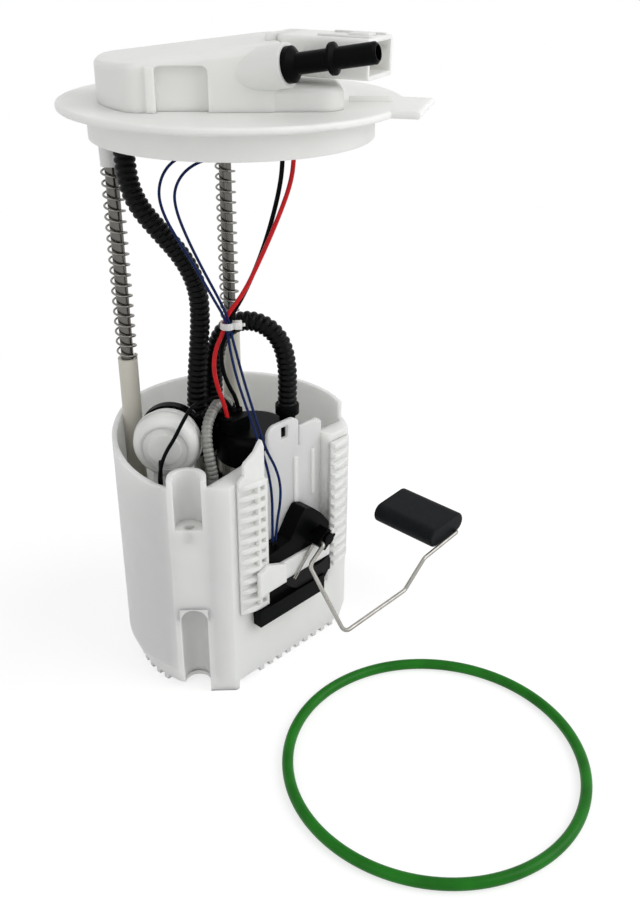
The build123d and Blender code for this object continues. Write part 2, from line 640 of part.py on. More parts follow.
def make_rod_rings():
    top = ring_top()
    low = top - RING_THICK
    rings = [pipe(RING_RADIUS, ROD_RADIUS + FIT, low, top, place) for place in ROD_PLACES.values()]
    return Compound(children=rings)


def inside_floor():
    """Height of the reservoir's inside floor."""
    return CUP_FLOOR + FLOOR_THICK


def make_guide_tube(side):
    place = ROD_PLACES[side]
    tube = cyl(TUBE_RADIUS, inside_floor() + TUBE_SEAT, TUBE_TOP, place)
    tube = tube - cyl(TUBE_NECK_BORE, TUBE_TOP - TUBE_NECK - CUT, TUBE_TOP + CUT, place)
    return tube - cyl(TUBE_BORE, inside_floor(), TUBE_TOP - TUBE_NECK, place)


def make_spring(side):
    """Compression spring round a rod, from its tube's top to the flange's boss."""
    low = TUBE_TOP + SPRING_EASE + SPRING_WIRE / 2
    high = rod_boss_bottom() - SPRING_EASE - SPRING_WIRE / 2
    length = high - low
    coil = Helix(pitch=length / SPRING_TURNS, height=length, radius=SPRING_RADIUS)
    section = Plane(coil @ 0, z_dir=coil % 0) * Rot(0, 0, 45) * Rectangle(SPRING_WIRE, SPRING_WIRE)
    wire = sweep(section, path=coil, is_frenet=True)
    return Pos(*ROD_PLACES[side], up(low)) * wire


# Reservoir

def corner_plane(height=0.0):
    """Plane on the middle of the flat corner: X along the corner, Y into the reservoir."""
    turn = math.radians(CORNER_TURN)
    centre = (CUP_X + CORNER_REACH * math.cos(turn), CUP_Y + CORNER_REACH * math.sin(turn), up(height))
    return Plane(centre, x_dir=(-math.sin(turn), math.cos(turn), 0), z_dir=(0, 0, 1))


def cup_outline(inset, front):
    """Plan of the reservoir: a circle with a flat front and a flat corner."""
    reach = 2 * CUP_RADIUS
    disc = Pos(CUP_X, CUP_Y) * Circle(CUP_RADIUS - inset)
    behind = Pos(0, front + reach) * Rectangle(2 * reach, 2 * reach)
    turn = math.radians(CORNER_TURN)
    offset = CORNER_REACH - inset - reach
    inward = Pos(CUP_X + offset * math.cos(turn), CUP_Y + offset * math.sin(turn)) * Rot(0, 0, CORNER_TURN)
    return disc & behind & inward * Rectangle(2 * reach, 2 * reach)


def pocket_prism(radius, low, high):
    """Upright groove in the flat corner, with a round inner end."""
    run = POCKET_DEPTH - POCKET_RADIUS
    shape = Pos(POCKET_SIDE, run) * Circle(radius) + Pos(POCKET_SIDE, run / 2 - CUT) * Rectangle(
        2 * radius, run + 2 * CUT)
    return extrude(corner_plane(low) * shape, high - low)


def rim_cutter():
    """What stands above the rim: level at the back, sloping down to the front corner."""
    top = CUP_RIM + 2 * CUP_WALL + CUP_RADIUS
    side = make_face(Polyline((-2 * CUP_RADIUS, up(FRONT_RIM)), (RIM_SLOPE_FRONT, up(FRONT_RIM)),
                              (RIM_SLOPE_BACK, up(CUP_RIM)), (2 * CUP_RADIUS, up(CUP_RIM)),
                              (2 * CUP_RADIUS, up(top)), (-2 * CUP_RADIUS, up(top)), close=True))
    return Rot(0, 0, RIM_TURN) * extrude(Plane.YZ * side, 2 * CUP_RADIUS, both=True)


def make_reservoir_cup():
    top = CUP_RIM + CUT
    taper = make_face(Polyline((0, up(CUP_FLOOR)), (CUP_RADIUS - CUP_TAPER, up(CUP_FLOOR)),
                               (CUP_RADIUS, up(CUP_FLOOR + CUP_TAPER_HEIGHT)), (CUP_RADIUS, up(top)),
                               (0, up(top)), close=True))
    envelope = Pos(CUP_X, CUP_Y, 0) * revolve(Plane.XZ * taper, Axis.Z)
    outer = extrude(Pos(0, 0, up(CUP_FLOOR)) * cup_outline(0.0, PANEL_Y), top - CUP_FLOOR) & envelope
    inner_front = RECESS_Y + RECESS_WALL
    low = inside_floor()
    inner = extrude(Pos(0, 0, up(low)) * cup_outline(CUP_WALL, inner_front), top - low + CUT)
    taper_wall = make_face(Polyline((0, up(low)), (CUP_RADIUS - CUP_TAPER - CUP_WALL, up(low)),
                                    (CUP_RADIUS - CUP_WALL, up(CUP_FLOOR + CUP_TAPER_HEIGHT)),
                                    (CUP_RADIUS - CUP_WALL, up(top + CUT)), (0, up(top + CUT)), close=True))
    inner = inner & Pos(CUP_X, CUP_Y, 0) * revolve(Plane.XZ * taper_wall, Axis.Z)
    body = outer - inner
    post = pocket_prism(POCKET_RADIUS + CUP_WALL, CUP_FLOOR, top) & outer
    body = body + post
    for place in ROD_PLACES.values():
        body = body + (cyl(SOCKET_RADIUS, CUP_FLOOR, inside_floor() + SOCKET_HEIGHT, place) & outer)
    for place in ROD_PLACES.values():
        body = body - cyl(TUBE_RADIUS + FIT, inside_floor() + TUBE_SEAT, top, place)
    body = body - rim_cutter() + (pocket_prism(POCKET_RADIUS + CUP_WALL, CUP_FLOOR, POST_RIM) & outer)
    right_corner = block((RAIL_RIGHT[0], 2 * CUP_RADIUS), (PANEL_Y - CUT, RECESS_Y + RECESS_WALL + CUP_WALL),
                         RIGHT_RIM, top + CUT)
    body = body - right_corner
    body = body - block((RAIL_LEFT[1] - STRIP_WIDTH, RAIL_RIGHT[0]), (PANEL_Y - CUT, RECESS_Y), RECESS_FLOOR,
                         top + CUT)
    body = body - pocket_prism(POCKET_RADIUS, SHELF_HEIGHT, top + CUT)
    arch_middle = ARCH_HEIGHT - POCKET_RADIUS
    arch_place = corner_plane(arch_middle).from_local_coords((POCKET_SIDE, -CUT, 0))
    arch_top = Plane(arch_place, z_dir=corner_plane().y_dir) * Cylinder(
        POCKET_RADIUS, POCKET_DEPTH + CUT, align=(Align.CENTER, Align.CENTER, Align.MIN))
    lower_groove = pocket_prism(POCKET_RADIUS, CUP_FLOOR - CUT, arch_middle)
    body = body - lower_groove - (arch_top & pocket_prism(POCKET_RADIUS, CUP_FLOOR, ARCH_HEIGHT + CUT))
    hole_place = corner_plane().from_local_coords((POCKET_SIDE, POCKET_DEPTH - POCKET_RADIUS, 0))
    hole_bottom = SHELF_HEIGHT - SHELF_HOLE_DEPTH
    body = body - cyl(SHELF_HOLE, hole_bottom, SHELF_HEIGHT + CUT, (hole_place.X, hole_place.Y))
    column = Pos(-(COLUMN_FROM + COLUMN_TO) / 2, COLUMN_DEPTH / 2) * Rectangle(
        COLUMN_TO - COLUMN_FROM, COLUMN_DEPTH)
    foot = extrude(corner_plane(0) * column, CUP_FLOOR) & extrude(
        Pos(0, 0, up(0)) * cup_outline(0.0, PANEL_Y), CUP_FLOOR)
    body = body + foot
    body = body - valve_ports()
    return body + recess_panel() - panel_cuts()


def valve_ports():
    """Hole for the inlet valve's stem, with four ports round it."""
    ports = cyl(VALVE_STEM / 2 + FIT, CUP_FLOOR - CUT, inside_floor() + CUT, VALVE_AT)
    for index in range(VALVE_PORTS):
        turn = math.radians(360 / VALVE_PORTS * index)
        place = (VALVE_AT[0] + VALVE_PORT_AT * math.cos(turn), VALVE_AT[1] + VALVE_PORT_AT * math.sin(turn))
        ports = ports + cyl(VALVE_PORT, CUP_FLOOR - CUT, inside_floor() + CUT, place)
    return ports


def recess_panel():
    """Panel behind the sender: a latch tab with a rounded top, a lower part beside it, and two ribs."""
    left = RAIL_LEFT[1] + LEAD_GATE
    right = RAIL_RIGHT[0] - PANEL_ROUND / 2
    middle = TAB_SLIT[0]
    depth = (RECESS_Y, RECESS_Y + RECESS_WALL)
    tab = block((left, middle), depth, LEAD_GATE_SILL - CUT, PANEL_TOP)
    tab = fillet(tab.edges().filter_by(Axis.Y).group_by(Axis.Z)[-1], PANEL_ROUND)
    lower = block((middle, right), depth, LEAD_GATE_SILL - CUT, PANEL_RIGHT_TOP)
    sheet = tab + lower
    rib_wide, rib_proud = PANEL_RIB_SIZE
    for rib_x in PANEL_RIBS:
        sheet = sheet + block((rib_x, rib_x + rib_wide), (RECESS_Y - rib_proud, RECESS_Y + CUT),
                              PANEL_RIB_BOTTOM, LEAD_GATE_SILL + CUT)
    return sheet


def panel_cuts():
    """Latch hole and slit, through the panel and the wall that it stands on."""
    hole_x, hole_height = TAB_HOLE
    hole_wide, hole_tall = TAB_HOLE_SIZE
    depth = (RECESS_Y - CUT, RECESS_Y + RECESS_WALL + CUT)
    hole = block((hole_x - hole_wide / 2, hole_x + hole_wide / 2), depth, hole_height - hole_tall / 2,
                 hole_height + hole_tall / 2)
    slit_x, slit_bottom, slit_wide = TAB_SLIT
    return hole + block((slit_x - slit_wide / 2, slit_x + slit_wide / 2), depth, slit_bottom, PANEL_TOP + CUT)


def rail_plan(inner, corner, outer, front, low, high):
    """Upright with a flat front from its inner side to a corner, and a curve from there to its outer side."""
    lip = PANEL_Y - RAIL_LIP
    middle = ((corner + outer) / 2, front + (lip - front) * RAIL_BULGE)
    edge = Polyline((outer, lip), (outer, PANEL_Y), (inner, PANEL_Y), (inner, front), (corner, front))
    face = make_face([edge, ThreePointArc((corner, front), middle, (outer, lip))])
    return extrude(Pos(0, 0, up(low)) * face, high - low)


def rungs(inner, corner, outer):
    """Ladder: a set-back core with full plates across it."""
    front = PANEL_Y - RAIL_PROUD
    rail = rail_plan(inner, corner, outer, front + RUNG_DEPTH, RAIL_BOTTOM, RAIL_TOP)
    step = rung_step()
    for index in range(RUNG_COUNT + 1):
        low = RAIL_BOTTOM + step * index
        rail = rail + rail_plan(inner, corner, outer, front, low, low + RUNG_THICK)
    return rail


def rung_step():
    return (RAIL_TOP - RAIL_BOTTOM - RUNG_THICK) / RUNG_COUNT


def make_left_rail():
    """Ladder rail with a strip of slots beside its rungs, and a pointed fin on top."""
    left, right = RAIL_LEFT
    front = PANEL_Y - RAIL_PROUD
    strip_left = right - STRIP_WIDTH
    rail = rungs(strip_left + SLOT_EDGE, strip_left, left)
    rail = rail + block((strip_left, right), (front, PANEL_Y), RAIL_BOTTOM, RAIL_TOP)
    for index in range(RUNG_COUNT):
        middle = RAIL_BOTTOM + RUNG_THICK / 2 + rung_step() * (index + 0.5)
        rail = rail - block((strip_left + SLOT_EDGE, right - SLOT_EDGE), (front - CUT, PANEL_Y + CUT),
                            middle - SLOT_HEIGHT / 2, middle + SLOT_HEIGHT / 2)
    rise = FIN_TIP - RAIL_TOP
    outline = [(left + across * (right - left), RAIL_TOP + share * rise) for across, share in FIN_SHAPE]
    return rail + front_plate(outline, PANEL_Y - FIN_THICK, PANEL_Y)


def make_right_rail():
    left, right = RAIL_RIGHT
    return rungs(left, left + STRIP_WIDTH / 2, right)


def make_foot():
    """Foot plate under the floor, with radial teeth at its edge and a window for the strainer."""
    front = PANEL_Y + FOOT_INSET / 2
    plate = extrude(Pos(0, 0, up(TOOTH_HEIGHT)) * cup_outline(FOOT_INSET, front), CUP_FLOOR - TOOTH_HEIGHT)
    edge = CUP_RADIUS - FOOT_INSET
    teeth = []
    for index in range(int(math.radians(TEETH_SPAN) * edge / TOOTH_STEP)):
        turn = TEETH_FROM + math.degrees(index * TOOTH_STEP / edge)
        tooth = Box(TOOTH_LENGTH, TOOTH_WIDTH, TOOTH_HEIGHT + FIT, align=(Align.MAX, Align.CENTER, Align.MIN))
        teeth.append(Pos(CUP_X, CUP_Y, up(0)) * Rot(0, 0, turn) * Pos(edge, 0, 0) * tooth)
    for index in range(int((RAIL_RIGHT[1] - RAIL_LEFT[1]) / TOOTH_STEP)):
        place = RAIL_LEFT[1] + index * TOOTH_STEP
        tooth = Box(TOOTH_WIDTH, TOOTH_LENGTH, TOOTH_HEIGHT + FIT, align=(Align.CENTER, Align.MIN, Align.MIN))
        teeth.append(Pos(place, front, up(0)) * tooth)
    plate = plate - cyl(FOOT_WINDOW, 0, CUP_FLOOR + CUT, VALVE_AT)
    column = extrude(corner_plane(0) * Pos(-(COLUMN_FROM + COLUMN_TO) / 2, 0) * Rectangle(
        COLUMN_TO - COLUMN_FROM + 2 * GAP, 2 * (COLUMN_DEPTH + GAP)), CUP_FLOOR)
    return plate + teeth - column - pocket_prism(POCKET_RADIUS, 0, CUP_FLOOR + CUT)


def make_inlet_valve():
    """Rubber umbrella that lets fuel in through the floor and not out."""
    top = inside_floor()
    lip = cyl(VALVE_RADIUS, top, top + VALVE_LIP, VALVE_AT)
    stem = cyl(VALVE_STEM / 2, CUP_FLOOR - VALVE_LIP, top, VALVE_AT)
    bulb = cyl(VALVE_BULB, CUP_FLOOR - 2 * VALVE_LIP, CUP_FLOOR - GAP, VALVE_AT)
    return lip + stem + bulb


def make_strainer():
    """Strainer disc in the foot plate's window."""
    low = TOOTH_HEIGHT - STRAINER_THICK
    return cyl(FOOT_WINDOW + STRAINER_LIP, low, TOOTH_HEIGHT, VALVE_AT)


# Pump

PUMP = (PUMP_X, PUMP_Y)


def make_pump_can():
    return pipe(PUMP_RADIUS, PUMP_RADIUS - PUMP_WALL, PUMP_BOTTOM, PUMP_CAN_TOP, PUMP)


def make_pump_cap():
    """Black end cap: domed edge, outlet and jet stubs, and the shaft's upper bearing."""
    cap = cyl(PUMP_RADIUS, PUMP_CAN_TOP, PUMP_CAP_TOP, PUMP)
    cap = fillet(cap.faces().sort_by(Axis.Z)[-1].edges(), CAP_ROUND)
    cap = cap + cyl(PUMP_RADIUS - PUMP_WALL - FIT, PUMP_CAN_TOP - INLET_COVER, PUMP_CAN_TOP, PUMP)
    for offset, radius in ((OUTLET_STUB_AT, OUTLET_STUB_RADIUS), (JET_STUB_AT, JET_STUB_RADIUS)):
        place = (PUMP_X + offset[0], PUMP_Y + offset[1])
        cap = cap + (cyl(radius, PUMP_CAN_TOP, PUMP_CAP_TOP + STUB_HEIGHT, place))
    low = PUMP_CAN_TOP - INLET_COVER - CUT
    bearing = cyl(SHAFT_RADIUS + SHAFT_FIT, low, PUMP_CAN_TOP + SHAFT_RADIUS, PUMP)
    return cap - bearing


def make_inlet_cover():
    """Pump's bottom cover, with the shaft's lower bearing and an inlet port."""
    top = PUMP_BOTTOM + INLET_COVER
    cover = cyl(PUMP_RADIUS - PUMP_WALL - FIT, PUMP_BOTTOM, top, PUMP)
    bearing = cyl(SHAFT_RADIUS + SHAFT_FIT, PUMP_BOTTOM + INLET_COVER / 2, top + CUT, PUMP)
    port = cyl(INLET_PORT, PUMP_BOTTOM - CUT, top + CUT, (PUMP_X + INLET_PORT_AT, PUMP_Y))
    return cover - bearing - port


def make_magnets():
    """Two magnet shells against the can's inside."""
    outer = PUMP_RADIUS - PUMP_WALL - FIT
    ring = pipe(outer, outer - MAGNET_THICK, ARMATURE_BOTTOM, ARMATURE_TOP, PUMP)
    shells = []
    for side in (0, 180):
        sector = make_face(Polyline((0, 0), sector_point(-MAGNET_SPAN / 2), sector_point(0),
                                    sector_point(MAGNET_SPAN / 2), close=True))
        wedge = Rot(0, 0, side) * extrude(sector, ARMATURE_TOP - ARMATURE_BOTTOM)
        shells.append(ring & Pos(PUMP_X, PUMP_Y, up(ARMATURE_BOTTOM)) * wedge)
    return Compound(children=shells)


def sector_point(degrees):
    turn = math.radians(degrees)
    return (4 * PUMP_RADIUS * math.cos(turn), 4 * PUMP_RADIUS * math.sin(turn))


def impeller_low():
    return PUMP_BOTTOM + INLET_COVER + GAP


def make_armature():
    """Slotted armature with its commutator."""
    core = cyl(ARMATURE_RADIUS, ARMATURE_BOTTOM, ARMATURE_TOP, PUMP)
    for index in range(ARMATURE_SLOTS):
        turn = 360 / ARMATURE_SLOTS * index
        slot = Pos(ARMATURE_CORE, 0, -CUT) * Box(
            ARMATURE_RADIUS, SHAFT_RADIUS, ARMATURE_TOP - ARMATURE_BOTTOM + 2 * CUT,
            align=(Align.MIN, Align.CENTER, Align.MIN))
        core = core - Pos(PUMP_X, PUMP_Y, up(ARMATURE_BOTTOM)) * Rot(0, 0, turn) * slot
    core = core + cyl(COMMUTATOR_RADIUS, ARMATURE_TOP, PUMP_CAN_TOP - INLET_COVER - CUT, PUMP)
    return core - cyl(SHAFT_RADIUS + FIT, ARMATURE_BOTTOM - CUT, PUMP_CAN_TOP, PUMP)


def make_pump_shaft():
    low = PUMP_BOTTOM + INLET_COVER / 2 + GAP
    return cyl(SHAFT_RADIUS, low, PUMP_CAN_TOP + SHAFT_RADIUS - GAP, PUMP)


def make_impeller():
    """Thin wheel with a row of vane slots at its rim."""
    low = impeller_low()
    wheel = pipe(IMPELLER_RADIUS, SHAFT_RADIUS + FIT, low, low + IMPELLER_THICK, PUMP)
    for index in range(IMPELLER_VANES):
        turn = 360 / IMPELLER_VANES * index
        slot = Pos(VANE_FROM, 0, -CUT) * Box(IMPELLER_RADIUS, VANE_SLOT, IMPELLER_THICK + 2 * CUT,
                                             align=(Align.MIN, Align.CENTER, Align.MIN))
        wheel = wheel - Pos(PUMP_X, PUMP_Y, up(low)) * Rot(0, 0, turn) * slot
    return wheel


def make_pump_sleeve():
    """Black sleeve that holds the pump off the reservoir's floor on four feet."""
    inner = PUMP_RADIUS + FIT
    sleeve = pipe(inner + SLEEVE_WALL, inner, SLEEVE_BOTTOM, SLEEVE_TOP, PUMP)
    ledge = pipe(inner + FIT, PUMP_RADIUS - 2 * PUMP_WALL, SLEEVE_BOTTOM, PUMP_BOTTOM, PUMP)
    sleeve = sleeve + ledge
    for index in range(SLEEVE_FEET):
        turn = 360 / SLEEVE_FEET * (index + 0.5)
        foot = Pos(inner, 0, 0) * Box(2 * SLEEVE_WALL, 3 * SLEEVE_WALL, SLEEVE_BOTTOM - inside_floor() + CUT,
                                      align=(Align.CENTER, Align.CENTER, Align.MIN))
        sleeve = sleeve + Pos(PUMP_X, PUMP_Y, up(inside_floor())) * Rot(0, 0, turn) * foot
    return sleeve


def make_lead_plug():
    """Plug on the cap that the power leads go into."""
    width, depth, height = LEAD_PLUG_SIZE
    place = (PUMP_X + LEAD_PLUG_AT[0], PUMP_Y + LEAD_PLUG_AT[1])
    shell = Box(width, depth, height, align=(Align.CENTER, Align.CENTER, Align.MIN))
    return Pos(*place, up(PUMP_CAP_TOP)) * fillet(shell.edges().filter_by(Axis.Z), LEAD_PLUG_ROUND)


# Filter

def drum_place():
    """From the drum's own X, along its axis, to the module."""
    return Pos(*DRUM_AT, 0) * Rot(0, 0, DRUM_TURN)


def drum_rod(radius, left, right):
    """Cylinder on the drum's axis, between two of its own lengths."""
    return rod_x(radius, left, right, 0, DRUM_HEIGHT)


def make_filter_drum():
    """White drum on its side, turned towards the corner, with an open end for its element."""
    drum = drum_rod(DRUM_RADIUS, DRUM_CAP_AT, DRUM_RIGHT)
    drum = drum + drum_rod(DRUM_CAP_RADIUS - DRUM_STEP / 2, DRUM_CAP_AT, STRAP_AT - DRUM_STEP)
    inside = drum_rod(DRUM_RADIUS - DRUM_WALL, DRUM_CAP_AT - CUT, DRUM_RIGHT - DRUM_WALL)
    return drum_place() * (drum - inside)


def make_filter_cap():
    """Domed cap on the drum's outer end."""
    cap = drum_rod(DRUM_CAP_RADIUS, DRUM_LEFT, DRUM_CAP_AT)
    cap = fillet(cap.faces().sort_by(Axis.X)[0].edges(), DRUM_DOME)
    hub = drum_rod(DRUM_HUB, DRUM_LEFT - DRUM_STEP / 2, DRUM_LEFT + CUT)
    inside = drum_rod(DRUM_CAP_RADIUS - 2 * DRUM_WALL, DRUM_LEFT + 2 * DRUM_WALL, DRUM_CAP_AT + CUT)
    return drum_place() * (cap + hub - inside)


def make_filter_element():
    left, right = DRUM_CAP_AT + FIT, DRUM_RIGHT - DRUM_WALL
    roll = drum_rod(ELEMENT_RADIUS, left, right) - drum_rod(ELEMENT_BORE, left - CUT, right + CUT)
    return drum_place() * roll


def make_filter_strap():
    """Black strap round the drum, with its buckle on the side of the pump."""
    inner = DRUM_RADIUS + FIT
    left, right = STRAP_AT, STRAP_AT + STRAP_WIDTH
    band = drum_rod(inner + STRAP_THICK, left, right)
    length, width, height = BUCKLE_SIZE
    axle = Plane(((left + right) / 2, 0, up(DRUM_HEIGHT)), x_dir=(0, -1, 0), z_dir=(-1, 0, 0))
    buckle = axle * Rot(0, 0, BUCKLE_TURN) * Pos(inner, 0, 0) * Box(
        height, width, length, align=(Align.MIN, Align.CENTER, Align.CENTER))
    return drum_place() * (band + buckle - drum_rod(inner, left - CUT, right + CUT))


def make_filter_stand():
    """Two ribs and a tie that carry the drum on the reservoir's floor."""
    ribs = []
    for rib_x in (STAND_X[0], STAND_X[1] - STAND_RIB):
        ribs.append(block((rib_x, rib_x + STAND_RIB), STAND_Y, inside_floor(), DRUM_HEIGHT))
    tie = block(STAND_X, (-STAND_RIB / 2, STAND_RIB / 2), inside_floor(),
                DRUM_HEIGHT - DRUM_CAP_RADIUS - STAND_RIB)
    stand = tie + ribs
    cap_seat = drum_rod(DRUM_CAP_RADIUS + FIT, STAND_X[0] - CUT, STRAP_AT)
    return drum_place() * (stand - cap_seat - drum_rod(DRUM_RADIUS + FIT, STRAP_AT, STAND_X[1] + CUT))


def make_manifold():
    """Black block that both hoses plug into, joined to the drum's end by a neck."""
    depth = (MANIFOLD_FRONT, MANIFOLD_BACK)
    shell = block((MANIFOLD_LEFT, MANIFOLD_RIGHT), depth, MANIFOLD_BOTTOM, MANIFOLD_TOP)
    shell = fillet(shell.edges().filter_by(Axis.Z).sort_by(Axis.X)[-2:], MANIFOLD_ROUND)
    neck = rod_x(DRUM_NECK, DRUM_RIGHT, DRUM_RIGHT + DRUM_NECK, 0, (MANIFOLD_BOTTOM + MANIFOLD_TOP) / 2)
    shell = shell + drum_place() * neck
    clear = cyl(PUMP_RADIUS + SLEEVE_WALL + GAP, MANIFOLD_BOTTOM - CUT, MANIFOLD_TOP + CUT, PUMP)
    return shell - clear - drum_place() * drum_rod(DRUM_CAP_RADIUS + STRAP_THICK, DRUM_LEFT, DRUM_RIGHT)


def make_regulator():
    """Pressure regulator can under the manifold."""
    can = cyl(REGULATOR_RADIUS, MANIFOLD_BOTTOM - REGULATOR_DROP, MANIFOLD_BOTTOM, REGULATOR_AT)
    can = fillet(can.faces().sort_by(Axis.Z)[0].edges(), REGULATOR_ROUND)
    return can - cyl(PUMP_RADIUS + SLEEVE_WALL + GAP, SLEEVE_BOTTOM, MANIFOLD_TOP, PUMP)


def make_jet_pump():
    """Jet pump on the floor, fed by the ribbed tube."""
    width, depth, height = JET_PUMP_SIZE
    middle = JET_PUMP_AT[1] + JET_PUMP_SET_BACK
    body = block((JET_PUMP_AT[0] - width / 2, JET_PUMP_AT[0] + width / 2),
                 (middle - depth / 2, middle + depth / 2), inside_floor(), inside_floor() + height)
    stack = cyl(JET_TUBE_RADIUS + JET_PUMP_WALL, inside_floor(), JET_PUMP_TOP, JET_PUMP_AT)
    return body + stack


# Level sender

def make_sender_housing():
    """Black housing in the recess, with the rotor's pivot pin."""
    plate = front_plate(SENDER_POINTS, SENDER_FRONT, RECESS_Y)
    plate = fillet(plate.edges().filter_by(Axis.Y), SENDER_ROUND)
    left, low, high = SENDER_BACK_LEFT
    inner = SENDER_POINTS[0][0] + SENDER_ROUND
    plate = plate + block((left, inner), (PANEL_Y + GAP, RECESS_Y), low, high)
    plate = plate + block(SENDER_BAR, (SENDER_BAR_FRONT, SENDER_FRONT), *SENDER_BAR_SPAN)
    plate = plate + block((SENDER_BAR[0], inner), (SENDER_BAR_FRONT, PANEL_Y - GAP), *SENDER_BAR_SPAN)
    pin = rod_y(PIVOT_RADIUS, PIVOT_X, PIVOT_Z, PIVOT_REACH, SENDER_FRONT + CUT)
    return plate + pin


def make_resistor_card():
    """Arc-shaped card under the wiper's tip."""
    inner, outer = CARD_RADII
    ring = rod_y(outer, PIVOT_X, PIVOT_Z, CARD_FRONT, SENDER_FRONT) - rod_y(
        inner, PIVOT_X, PIVOT_Z, CARD_FRONT - CUT, SENDER_FRONT + CUT)
    reach = 3 * outer
    points = [(PIVOT_X, PIVOT_Z)]
    for step in range(5):
        turn = math.radians(CARD_SPAN[0] + (CARD_SPAN[1] - CARD_SPAN[0]) * step / 4)
        points.append((PIVOT_X + reach * math.cos(turn), PIVOT_Z + reach * math.sin(turn)))
    card = ring & front_plate(points, CARD_FRONT - CUT, SENDER_FRONT + CUT)
    card = card & front_plate(SENDER_POINTS, CARD_FRONT - CUT, SENDER_FRONT + CUT)
    return card & block((BRACKET_LEFT, BRACKET_RIGHT + CUT), (CARD_FRONT - CUT, SENDER_FRONT + CUT),
                        SENDER_BAR_SPAN[1] + GAP, BRACKET_LOW - GAP)


def make_sender_bracket():
    """White bar across the sender, with a lug that hooks over the left rail."""
    bar = block((BRACKET_LUG_RIGHT, BRACKET_RIGHT), (BRACKET_FRONT, SENDER_FRONT), BRACKET_LOW, BRACKET_HIGH)
    lug = front_plate([(BRACKET_LEFT, BRACKET_END_LOW), (BRACKET_LUG_RIGHT, BRACKET_LOW),
                       (BRACKET_LUG_RIGHT, BRACKET_HIGH), (BRACKET_LEFT + BRACKET_HOOK, BRACKET_END_HIGH),
                       (BRACKET_LEFT, BRACKET_END_HIGH - BRACKET_SLOPE)], BRACKET_LUG_FRONT,
                      PANEL_Y - RAIL_PROUD)
    key_depth = (PANEL_Y - RAIL_PROUD - CUT, SENDER_FRONT)
    key = block((RAIL_LEFT[1] + GAP, BRACKET_LUG_RIGHT), key_depth, BRACKET_LOW, BRACKET_HIGH)
    return bar + lug + key


def make_rotor():
    """Block that turns on the pivot and grips the wire arm's end."""
    body = front_plate(ROTOR_POINTS, ROTOR_FRONT, ROTOR_BACK)
    body = fillet(body.edges().filter_by(Axis.Y), ROTOR_ROUND)
    grip_x, grip_back, grip_height = WIRE_POINTS[0]
    wire_hole = rod_y(WIRE_RADIUS + FIT, grip_x, grip_height, ROTOR_FRONT - CUT, grip_back + FIT)
    bore = rod_y(PIVOT_RADIUS + PIVOT_FIT, PIVOT_X, PIVOT_Z, ROTOR_FRONT - CUT, ROTOR_BACK + CUT)
    return body - wire_hole - bore - wiper_strip(FIT)


def wiper_strip(ease):
    """Strip that runs from the rotor's back out over the card."""
    turn = math.radians(WIPER_TURN)
    way = Vector(math.cos(turn), 0, math.sin(turn))
    plane = Plane((PIVOT_X, ROTOR_BACK, up(PIVOT_Z)), x_dir=way, z_dir=(0, -1, 0))
    start = PIVOT_RADIUS + CUT
    return plane * Pos(start - ease, 0, -ease) * Box(
        WIPER_REACH - start + 2 * ease, WIPER_WIDTH + 2 * ease, WIPER_THICK + 2 * ease,
        align=(Align.MIN, Align.CENTER, Align.MIN))


def make_wiper():
    return wiper_strip(0)


def make_rotor_clip():
    """Washer that keeps the rotor on its pin."""
    front = ROTOR_FRONT - GAP - CLIP_THICK
    return rod_y(CLIP_RADIUS, PIVOT_X, PIVOT_Z, front, ROTOR_FRONT - GAP) - rod_y(
        PIVOT_RADIUS, PIVOT_X, PIVOT_Z, front - CUT, ROTOR_FRONT)


def make_float_wire():
    """Bent steel wire from the rotor out to the float."""
    points = [(x, y, up(height)) for x, y, height in WIRE_POINTS]
    radii = [WIRE_BEND for corner in points[1:-1]]
    radii[0] = WIRE_END_BEND
    radii[-1] = WIRE_END_BEND
    path = FilletPolyline(*points, radius=radii)
    return sweep(Plane(path @ 0, z_dir=path % 0) * Circle(WIRE_RADIUS), path=path)


def make_float():
    """Flat float with round long edges, bored for the wire's end."""
    section = SlotOverall(FLOAT_WIDTH, FLOAT_THICK)
    plane = Plane((FLOAT_CENTRE[0], FLOAT_NEAR, up(FLOAT_CENTRE[1])), x_dir=(1, 0, 0), z_dir=(0, 1, 0))
    body = extrude(plane * Rot(0, 0, -FLOAT_TILT) * section, FLOAT_FAR - FLOAT_NEAR)
    ends = body.faces().sort_by(Axis.Y)
    body = fillet(ends[0].edges() + ends[-1].edges(), FLOAT_EDGE)
    end = WIRE_POINTS[-1]
    return body - rod_y(WIRE_RADIUS + FIT, end[0], end[2], FLOAT_NEAR - CUT, end[1] + FIT)


def make_seal_ring():
    """Loose seal that lies on the same surface as the module."""
    return Pos(*SEAL_AT, up(SEAL_CORD)) * Torus(SEAL_RADIUS, SEAL_CORD)


def make_wire_tie():
    """Tie round the leads, with its square head."""
    middle = hung(TIE_AT[2], LEAD_ANCHOR)
    low, high = middle - TIE_WIDTH / 2, middle + TIE_WIDTH / 2
    place = TIE_AT[:2]
    band = pipe(TIE_RADIUS, TIE_RADIUS - TIE_THICK, low, high, place)
    head = turned(block((TIE_RADIUS - TIE_THICK, TIE_RADIUS + TIE_HEAD - TIE_THICK),
                        (-TIE_HEAD / 2, TIE_HEAD / 2), low - FIT, high + FIT))
    return band + Pos(*place, 0) * head


FLANGE = make_flange()

